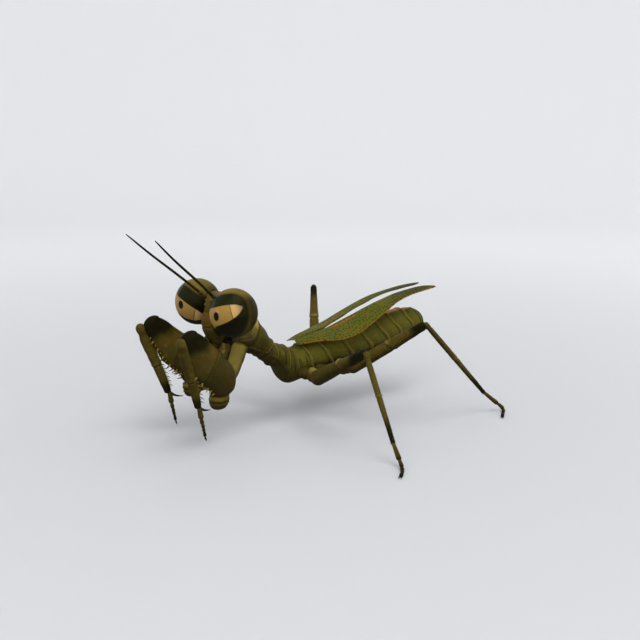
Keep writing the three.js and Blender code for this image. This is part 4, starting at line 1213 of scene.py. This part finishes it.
def graspingLeg(side, sideName):
    shape = graspShape
    draw = np.random.default_rng(71)
    coxa = graspPart("coxa", side, up=(0, -1, 0), rows=90, sides=72)
    form = coxa.form
    frontEdge = bell(np.sin(form.turn) * 0.5, 0, 0.12) * (np.cos(form.turn) > 0)
    form.push(0.05 * grain(form.points, 1.8, 72) + 0.1 * frontEdge + rings(form.u, *shape["coxaRings"]))
    # painted light: the front side is painted paler and the back darker, and the lower end is darkened,
    # painted shade
    ahead = rise(np.cos(form.turn + 0.15), -0.9, 0.5)
    form.mark(pale=0.85 * ahead * rise(form.u, 0.0, 0.1) + 0.3 * bell(form.u, 0.9, 0.04),
              dark=0.25 * rise(-np.cos(form.turn), 0.3, 1), edge=0.7 * bell(form.u, 0.945, 0.015),
              under=0.3 * rise(form.u, 0.75, 1.0))
    skin = Skin().add(form, side)
    row = shape["coxaSpines"]
    for place in np.linspace(row["start"], row["end"], row["count"]):
        spot, tangent, _, over = coxa.on(place, 0.25 * draw.uniform(-1, 1), 0.96)
        length = row["length"] * draw.uniform(0.7, 1.2)
        thorn(skin, spot, over + 0.3 * tangent, length, row["radius"], side, 0.2)
    skin.build(f"fore_coxa_{sideName}", legFinish, "leg")

    barrel = tube(shape["barrel"], shape["barrelWide"], shape["barrelHigh"], up=(0, -1, 0), rows=70,
                  sides=80, front=0.7, back=0.4)
    # two bands with a crease between them
    barrel.push(rings(barrel.u, *shape["barrelRings"]) + 0.04 * grain(barrel.points, 1.2, 73))
    # under darkens the barrel and the link, painted shade
    barrel.mark(pale=0.52 * bell(barrel.u, 0.76, 0.12), under=0.4 + 0.4 * rise(0.35 - barrel.u, 0, 0.3),
                edge=0.6 * bell(barrel.u, 0.5, 0.02))
    link = tube(shape["link"], shape["linkWide"], rows=30, sides=48)
    link.push(0.04 * grain(link.points, 1.2, 74)).mark(under=0.5)
    Skin().add(barrel, side).add(link, side).build(f"fore_trochanter_{sideName}", legFinish, "leg")

    thigh = graspPart("thigh", side, up=shape["up"], rows=170, sides=120)
    form = thigh.form
    # the outer half is a cone that sits in the swollen base; the edge between them slants
    slantU = form.u + 0.09 * np.cos(form.turn) - 0.03 * np.abs(np.sin(form.turn))
    cone = rise(slantU, 0.465, 0.485)
    channel = bell(form.turn, 0, 0.22) + bell(form.turn, 2 * math.pi, 0.22)
    channel = channel * rise(form.u, 0.15, 0.25) * rise(0.85 - form.u, 0, 0.1)
    back = rise(-np.cos(form.turn), -0.4, 0.5)
    form.push(0.14 * (1 - cone) + 0.08 * bell(slantU, 0.445, 0.02) + 0.5 * back * bell(form.u, 0.2, 0.13)
              - 0.22 * channel + 0.04 * grain(form.points, 3.0, 75)
              - 0.14 * bell(form.u, 0.915, 0.012) + 0.08 * rise(form.u, 0.9, 0.93))
    kneeDark = rise(form.u + 0.06 * back, 0.66, 0.9)
    # under darkens the swollen base, painted shade
    form.mark(dark=kneeDark + 0.2 * rise(0.1 - form.u, 0, 0.1),
              warm=0.5 * bell(form.u + 0.1 * back, 0.7, 0.07) * (1 - 0.5 * kneeDark),
              pale=0.1 * bell(slantU, 0.45, 0.02) + 0.2 * back * (1 - kneeDark) * rise(form.u, 0.3, 0.6),
              under=0.45 * (1 - cone),
              edge=0.55 * bell(slantU, 0.472, 0.012) + 0.5 * bell(form.u, 0.915, 0.01))
    skin = Skin().add(form, side)
    for row in shape["spines"]:
        thigh.spineRow(skin, row, draw, side)
    skin.build(f"fore_femur_{sideName}", legFinish, "leg")

    shank = graspPart("shank", side, up=shape["up"], rows=150, sides=72)
    form = shank.form
    knob = bell(form.u, 0.14, 0.05) * rise(np.cos(form.turn), -0.5, 0.5)
    form.push(rings(form.u, *shape["shankRings"]) - 0.2 * knob + 0.04 * grain(form.points, 1.5, 76))
    # under darkens the lower front side, painted shade
    form.mark(dark=0.95 * rise(form.u, 0.72, 0.95) + 0.35 * bell(form.u, 0.15, 0.035),
              pale=rings(form.u, (0.07, 0.05, 0.3), (0.575, 0.02, 0.3)),
              edge=0.6 * bell(form.u, 0.6, 0.01), under=0.3 * rise(np.cos(form.turn), 0, 1))
    skin = Skin().add(form, side)
    row = shape["shankSpines"]
    for sign, offset in ((1, 0.0), (-1, 0.025)):
        # the two rows of teeth grow towards the claw
        for f in np.linspace(0, 1, row["count"]):
            place = row["start"] + row["reach"] * f + offset
            spot, tangent, across, over = shank.on(place, math.pi - row["turn"] * sign, 0.86)
            heading = 0.25 * sign * across + 0.55 * tangent - over
            length = (row["length"] + row["growth"] * f) * draw.uniform(0.9, 1.1)
            thorn(skin, spot, heading, length, row["radius"], side, 0.4, over + tangent)
    claw = tube(shape["claw"], shape["clawWide"], rows=50, sides=28, up=(0, 0.3, 1))
    claw.mark(dark=0.5 + 0.5 * rise(claw.u, 0.4, 0.8), edge=0.5 * bell(claw.u, 0.25, 0.03))
    skin.add(claw, side).build(f"fore_tibia_{sideName}", legFinish, "leg")
    footPiece(shape["foot"], shape["footRadius"], f"fore_tarsus_{sideName}", 77, side)


footShape = {
    # the five joints end at these shares of the length
    "cuts": (0, 0.4, 0.57, 0.7, 0.8, 1.0), "overlap": 0.02,
    "bristles": 6, "bristle": 0.42, "clawTurns": (-0.3, 0.3), "clawLength": 3.2,
}


def footPiece(path, radii, name, seed, side=1, floor=False):
    route = Route(path)
    skin = Skin()
    draw = np.random.default_rng(seed)
    radius, tipRadius = radii
    cuts = footShape["cuts"]
    for i, (a, b) in enumerate(zip(cuts[:-1], cuts[1:])):
        b = min(b + footShape["overlap"], 1)
        size = radius + (tipRadius - radius) * a
        joint = tube(route.at([a, (a + b) / 2, b]), (size * 0.7, size * 0.84, size * 1.02), rows=26,
                     sides=26, capRows=7)
        joint.push(0.02 * grain(joint.points, 0.8, seed + i))
        joint.mark(dark=0.35 + 0.12 * i + 0.4 * rise(joint.u, 0.75, 1),
                   pale=0.3 * (1 - rise(joint.u, 0.2, 0.5)), edge=0.7 * rise(0.1 - joint.u, 0, 0.1))
        skin.add(joint, side)
        ahead = route.heading((a + b) / 2)[0]
        for _ in range(footShape["bristles"]):
            spot = route.at(a + (b - a) * draw.uniform(0.3, 0.95))[0]
            heading = unit(draw.normal(size=3) * (1, 1, 0.5) + (0, 0, 0.5))
            length = footShape["bristle"] * draw.uniform(0.7, 1.2)
            thorn(skin, spot + heading * size * 0.75, heading + ahead, length, 0.05, side, 0.15)
    end, ahead = route.at(1.0)[0], route.heading(1.0)[0]
    level = unit(np.cross(ahead, (0, 0, 1)))
    for turn in footShape["clawTurns"]:
        reach = unit(ahead + level * turn) * tipRadius * footShape["clawLength"]
        claw = tube([end, end + reach * 0.5 + (0, 0, 0.12), end + reach],
                    (tipRadius * 0.5, tipRadius * 0.42, tipRadius * 0.12), rows=14, sides=12, capRows=4)
        skin.add(claw.mark(dark=1.0), side)
    if floor:
        skin.points = [np.column_stack([p[:, :2], np.maximum(p[:, 2], 0.0)]) for p in skin.points]
    skin.build(name, legFinish, "leg")


walking = {
    "mid_left": {"root": (3.9, -10.6, 14.6), "bend": (8.3, -8.9, 13.8), "base": (9.3, -8.45, 12.9),
                 "knee": (34.1, -10.3, 25.8), "ankle": (45.5, -10.3, 4.9),
                 "sole": ((50.3, -11.65, 0.8), (52.8, -13.6, 0.42), (54.4, -15.4, 0.4))},
    "mid_right": {"root": (-3.9, -10.6, 14.6), "bend": (-8.3, -8.9, 13.8), "base": (-9.3, -8.45, 13.2),
                  "knee": (-34.3, -10.3, 26.2), "ankle": (-41.5, -8.0, 3.6),
                  "sole": ((-42.3, -10.4, 0.75), (-43.8, -13.8, 0.42), (-45.0, -17.2, 0.4))},
    "hind_left": {"root": (4.2, -5.4, 14.3), "bend": (8.2, 2.3, 13.95), "base": (9.0, 3.9, 13.7),
                  "knee": (27.3, 16.7, 28.7), "ankle": (29.9, 38.0, 5.9),
                  "sole": ((33.0, 43.2, 0.8), (35.2, 40.9, 0.42), (37.3, 38.4, 0.4))},
    "hind_right": {"root": (-4.2, -5.4, 14.0), "bend": (-8.2, 2.3, 13.6), "base": (-9.0, 4.5, 13.7),
                   "knee": (-27.7, 17.5, 31.6), "ankle": (-30.8, 20.8, 3.6),
                   "sole": ((-32.8, 22.6, 0.75), (-36.2, 24.4, 0.42), (-39.4, 25.8, 0.4)),
                   "slim": (0.84, 0.84, 0.83, 0.8, 0.78)},
}
walkingShape = {
    "mid": {"coxa": 1.75, "thigh": (2.3, 2.15, 1.85, 1.45, 1.2), "shank": (0.75, 0.8, 0.78, 0.68, 0.6),
            "seam": 0.55, "dark": (0.66, 0.86), "collar": 0.26, "seed": 83},
    "hind": {"coxa": 1.55, "thigh": (1.9, 1.9, 1.8, 1.5, 1.2), "shank": (0.72, 0.8, 0.78, 0.7, 0.6),
             "seam": 0.54, "dark": (0.72, 0.93), "collar": 0.08, "seed": 89},
    # beads on the outer side of the hip: (shift, radius)
    "beads": (((0.4, 0.1, 1.25), 1.25), ((1.5, 0.5, 1.1), 0.85)),
    "shankRings": ((0.03, 0.025, 0.03), (0.075, 0.015, -0.08), (0.5, 0.006, -0.1),
                   (0.485, 0.012, 0.07), (0.985, 0.012, 0.07)),
    # place, spread, lean, length and radius of the spurs under the knee and the ankle
    "kneeSpurs": (0.97, 0.5, 0.8, 0.8, 0.16), "ankleSpurs": (0.985, 0.6, 0.6, 0.75, 0.12),
    "bristles": 46, "bristle": (0.6, 0.055), "footRadius": (0.68, 0.48),
}


def walkingLeg(name, leg):
    pair, sideName = name.split("_")
    size = walkingShape[pair]
    draw = np.random.default_rng(size["seed"])
    root, bend, base, knee, ankle = (leg[place] for place in ("root", "bend", "base", "knee", "ankle"))
    girth = size["coxa"]
    coxa = tube([root, mixed(root, bend, 0.5), bend], [girth, girth * 1.02, girth * 0.9], rows=60,
                sides=56)
    height, crestHighlight, shadow = folds(coxa, 1.1, 0.2, 84, 5.0)
    coxa.push(0.12 * height - 0.08 + 0.05 * grain(coxa.points, 1.1, 85))
    # painted shade: the coxa is darkened and its underside darker still
    coxa.mark(pale=0.2 * crestHighlight, under=0.5, edge=0.4 * shadow,
              dark=0.25 * rise(-np.cos(coxa.turn), 0.2, 0.9))
    # the trochanter: a small knob over the hip and the thigh
    knob = tube([mixed(root, bend, 0.72), bend, mixed(base, knee, 0.05)],
                [girth * 0.8, girth * 1.04, girth * 1.0], rows=40, sides=56)
    knob.push(0.06 * grain(knob.points, 0.8, 86) - 0.14 * bell(knob.u, 0.62, 0.05))
    # painted light: the top of the knob is painted paler and its underside darker
    knob.mark(pale=0.35 * rise(np.cos(knob.turn), 0.1, 0.8), edge=0.6 * bell(knob.u, 0.62, 0.04),
              dark=0.3 * rise(-np.cos(knob.turn), 0.2, 0.9))
    skin = Skin().add(coxa).add(knob)
    outwards = 1 if root[0] > 0 else -1
    for shift, radius in walkingShape["beads"]:
        bead = ballForm(np.array(bend) + np.array(shift) * (outwards, 1, 1), [radius] * 3, 30, 40)
        bead.push(0.08 * grain(bead.points, 0.6, 90)).mark(pale=0.6, edge=0.5 * bell(bead.u, 0.35, 0.12))
        skin.add(bead)
    skin.build(f"{pair}_coxa_{sideName}", legFinish, "leg")

    widths = np.array(size["thigh"]) * leg.get("slim", 1.0)
    femur = Limb([mixed(base, knee, -0.015), mixed(base, knee, 0.5), knee], widths, rows=170, sides=72)
    form = femur.form
    low, high = size["dark"]
    seamAt = size["seam"]
    seam = form.u + 0.03 * np.cos(form.turn)
    collar = bell(seam, seamAt + 0.03, 0.022)
    form.push(size["collar"] * collar - 0.16 * bell(seam, seamAt, 0.012)
              - 0.05 * rise(seamAt - seam, 0, 0.02) + 0.02 * grain(form.points, 3.2, 87)
              + rings(form.u, (0.97, 0.03, 0.12), (high + 0.035, 0.01, -0.12))
              + 0.05 * collar * grain(form.points, 0.7, 88))
    # painted light: the pale collar and pale shaft show on the upper side only, their own tone with a
    # painted highlight, and the underside is painted darker
    top = rise(np.cos(form.turn), -0.3, 0.8)
    kneeDark = rise(form.u, low, high)
    form.mark(dark=0.95 * kneeDark + 0.25 * rise(-np.cos(form.turn), 0.4, 1),
              warm=0.35 * bell(form.u, low - 0.03, 0.07) * (1 - kneeDark),
              pale=((0.25 + 1.5 * size["collar"]) * collar + 0.15 * (1 - kneeDark)) * top,
              under=0.5 * rise(-np.cos(form.turn), -0.1, 0.7),
              edge=0.45 * bell(seam, seamAt, 0.01) + 0.5 * bell(form.u, high + 0.035, 0.008))
    skin = Skin().add(form)
    femur.spurs(skin, *walkingShape["kneeSpurs"])
    skin.build(f"{pair}_femur_{sideName}", legFinish, "leg")

    tibia = Limb([mixed(knee, ankle, -0.02), mixed(knee, ankle, 0.5), mixed(knee, ankle, 1.01)],
                 size["shank"], up=(0, 1, 0.3), rows=190, sides=48)
    form = tibia.form
    form.push(rings(form.u, *walkingShape["shankRings"]) + 0.02 * grain(form.points, 3.0, 91))
    lowDark = rise(form.u, 0.6, 0.9)
    form.mark(dark=0.85 * lowDark + 0.3 * bell(form.u, 0.1, 0.04),
              pale=0.2 * rise(0.09 - form.u, 0, 0.06) + 0.22 * (1 - lowDark) * rise(form.u, 0.12, 0.3)
              + 0.2 * bell(form.u, 0.485, 0.012),
              edge=rings(form.u, (0.5, 0.006, 0.55), (0.075, 0.01, 0.4)))
    skin = Skin().add(form)
    bristle, bristleRadius = walkingShape["bristle"]
    for i in range(walkingShape["bristles"]):
        # short bristles in four loose rows
        turn = (i % 4) * math.pi / 2 + draw.uniform(-0.5, 0.5)
        place = 0.1 + 0.86 * i / walkingShape["bristles"]
        spot, tangent, across, over = tibia.on(place, turn, 0.92)
        out = unit(across * math.sin(turn) + over * math.cos(turn))
        length = bristle * draw.uniform(0.7, 1.3)
        thorn(skin, spot, out + 0.9 * tangent, length, bristleRadius, sink=0.15)
    tibia.spurs(skin, *walkingShape["ankleSpurs"])
    skin.build(f"{pair}_tibia_{sideName}", legFinish, "leg")
    path = [mixed(knee, ankle, 0.985), mixed(ankle, leg["sole"][0], 0.5), *leg["sole"]]
    footPiece(path, walkingShape["footRadius"], f"{pair}_tarsus_{sideName}", 93, floor=True)


for sign, handName in ((1, "left"), (-1, "right")):
    graspingLeg(sign, handName)
for legName, legPlaces in walking.items():
    walkingLeg(legName, legPlaces)
print("legs made")


studio = {
    "floorRadius": 0.62, "curve": 0.34, "wall": 0.9, "nearTint": (0.655, 0.665, 0.68),
    "farTint": (0.87, 0.875, 0.89),
    "keyPlace": (0.6, -0.48, 0.8), "keySize": 1.1, "keyPower": 4.8,
    "topPlace": (0.28, 0.17, 1.15), "topSize": 0.8, "topPower": 4.5,
    "backPlace": (-0.6, 0.45, 0.9), "backSize": 0.4, "backPower": 0.8,
    "skyTint": (0.98, 0.985, 1.0), "sky": 0.27,
    "cameraPlace": (0.20095, -0.14309, 0.08217), "cameraAim": (-0.0048, 0.0061, 0.0273), "lens": 50,
}


def backdrop():
    # a floor that curves up into a wall all round
    radius, curve = studio["floorRadius"], studio["curve"]
    bend = np.linspace(0, math.pi / 2, 24)
    r = np.concatenate([np.linspace(0.02, radius, 12), radius + curve * np.sin(bend[1:]),
                        [radius + curve]])
    z = np.concatenate([np.zeros(12), curve * (1 - np.cos(bend[1:])), [curve + studio["wall"]]])
    turn = np.linspace(0, 2 * math.pi, 96, endpoint=False)
    points = [(a * math.cos(t), a * math.sin(t), b) for a, b in zip(r, z) for t in turn]
    index = np.arange(len(points)).reshape(len(r), 96)
    nextOne = np.roll(index, -1, 1)
    faces = np.stack([index[:-1], nextOne[:-1], nextOne[1:], index[1:]], -1).reshape(-1, 4)[:, ::-1]
    mesh = bpy.data.meshes.new("backdrop")
    mesh.from_pydata(points, [], faces.tolist() + [index[0].tolist()])
    mesh.polygons.foreach_set("use_smooth", np.ones(len(mesh.polygons), bool))
    mesh.update()
    f = Finish("paleBackdrop")
    soft = f.noise(6.0, 2.0)
    distance = f.node("ShaderNodeVectorMath", {"operation": "LENGTH"}, {0: f.place}, out="Value")
    # the floor is painted darker near the middle and paler towards the wall, a painted light falloff
    tone = f.tint(studio["nearTint"], studio["farTint"], f.step(distance, 0.02, 0.45))
    mesh.materials.append(f.finish(tone, 0.95 + soft * 0.04, fixed={"Specular IOR Level": 0.1}))
    floor = bpy.data.objects.new("backdrop", mesh)
    bpy.context.scene.collection.objects.link(floor)


def aimed(item, place, aim):
    item.location = place
    item.rotation_euler = (Vector(aim) - Vector(place)).to_track_quat("-Z", "Y").to_euler()
    bpy.context.scene.collection.objects.link(item)
    return item


def softBox(name, place, size, power):
    light = bpy.data.lights.new(name, "AREA")
    light.shape = "DISK"
    light.size = size
    light.energy = power
    aimed(bpy.data.objects.new(name, light), place, (0, 0, 0.02))


backdrop()
softBox("keyLight", studio["keyPlace"], studio["keySize"], studio["keyPower"])
softBox("topLight", studio["topPlace"], studio["topSize"], studio["topPower"])
softBox("backLight", studio["backPlace"], studio["backSize"], studio["backPower"])
world = bpy.data.worlds.new("studioSky")
world.use_nodes = True
world.node_tree.nodes["Background"].inputs["Color"].default_value = (*studio["skyTint"], 1)
world.node_tree.nodes["Background"].inputs["Strength"].default_value = studio["sky"]
bpy.context.scene.world = world
lens = bpy.data.cameras.new("camera")
lens.lens = studio["lens"]
lens.sensor_width = 36
lens.clip_start = 0.005
bpy.context.scene.camera = aimed(bpy.data.objects.new("camera", lens), studio["cameraPlace"],
                                 studio["cameraAim"])
bpy.context.scene.view_settings.view_transform = "Standard"
print("studio made")
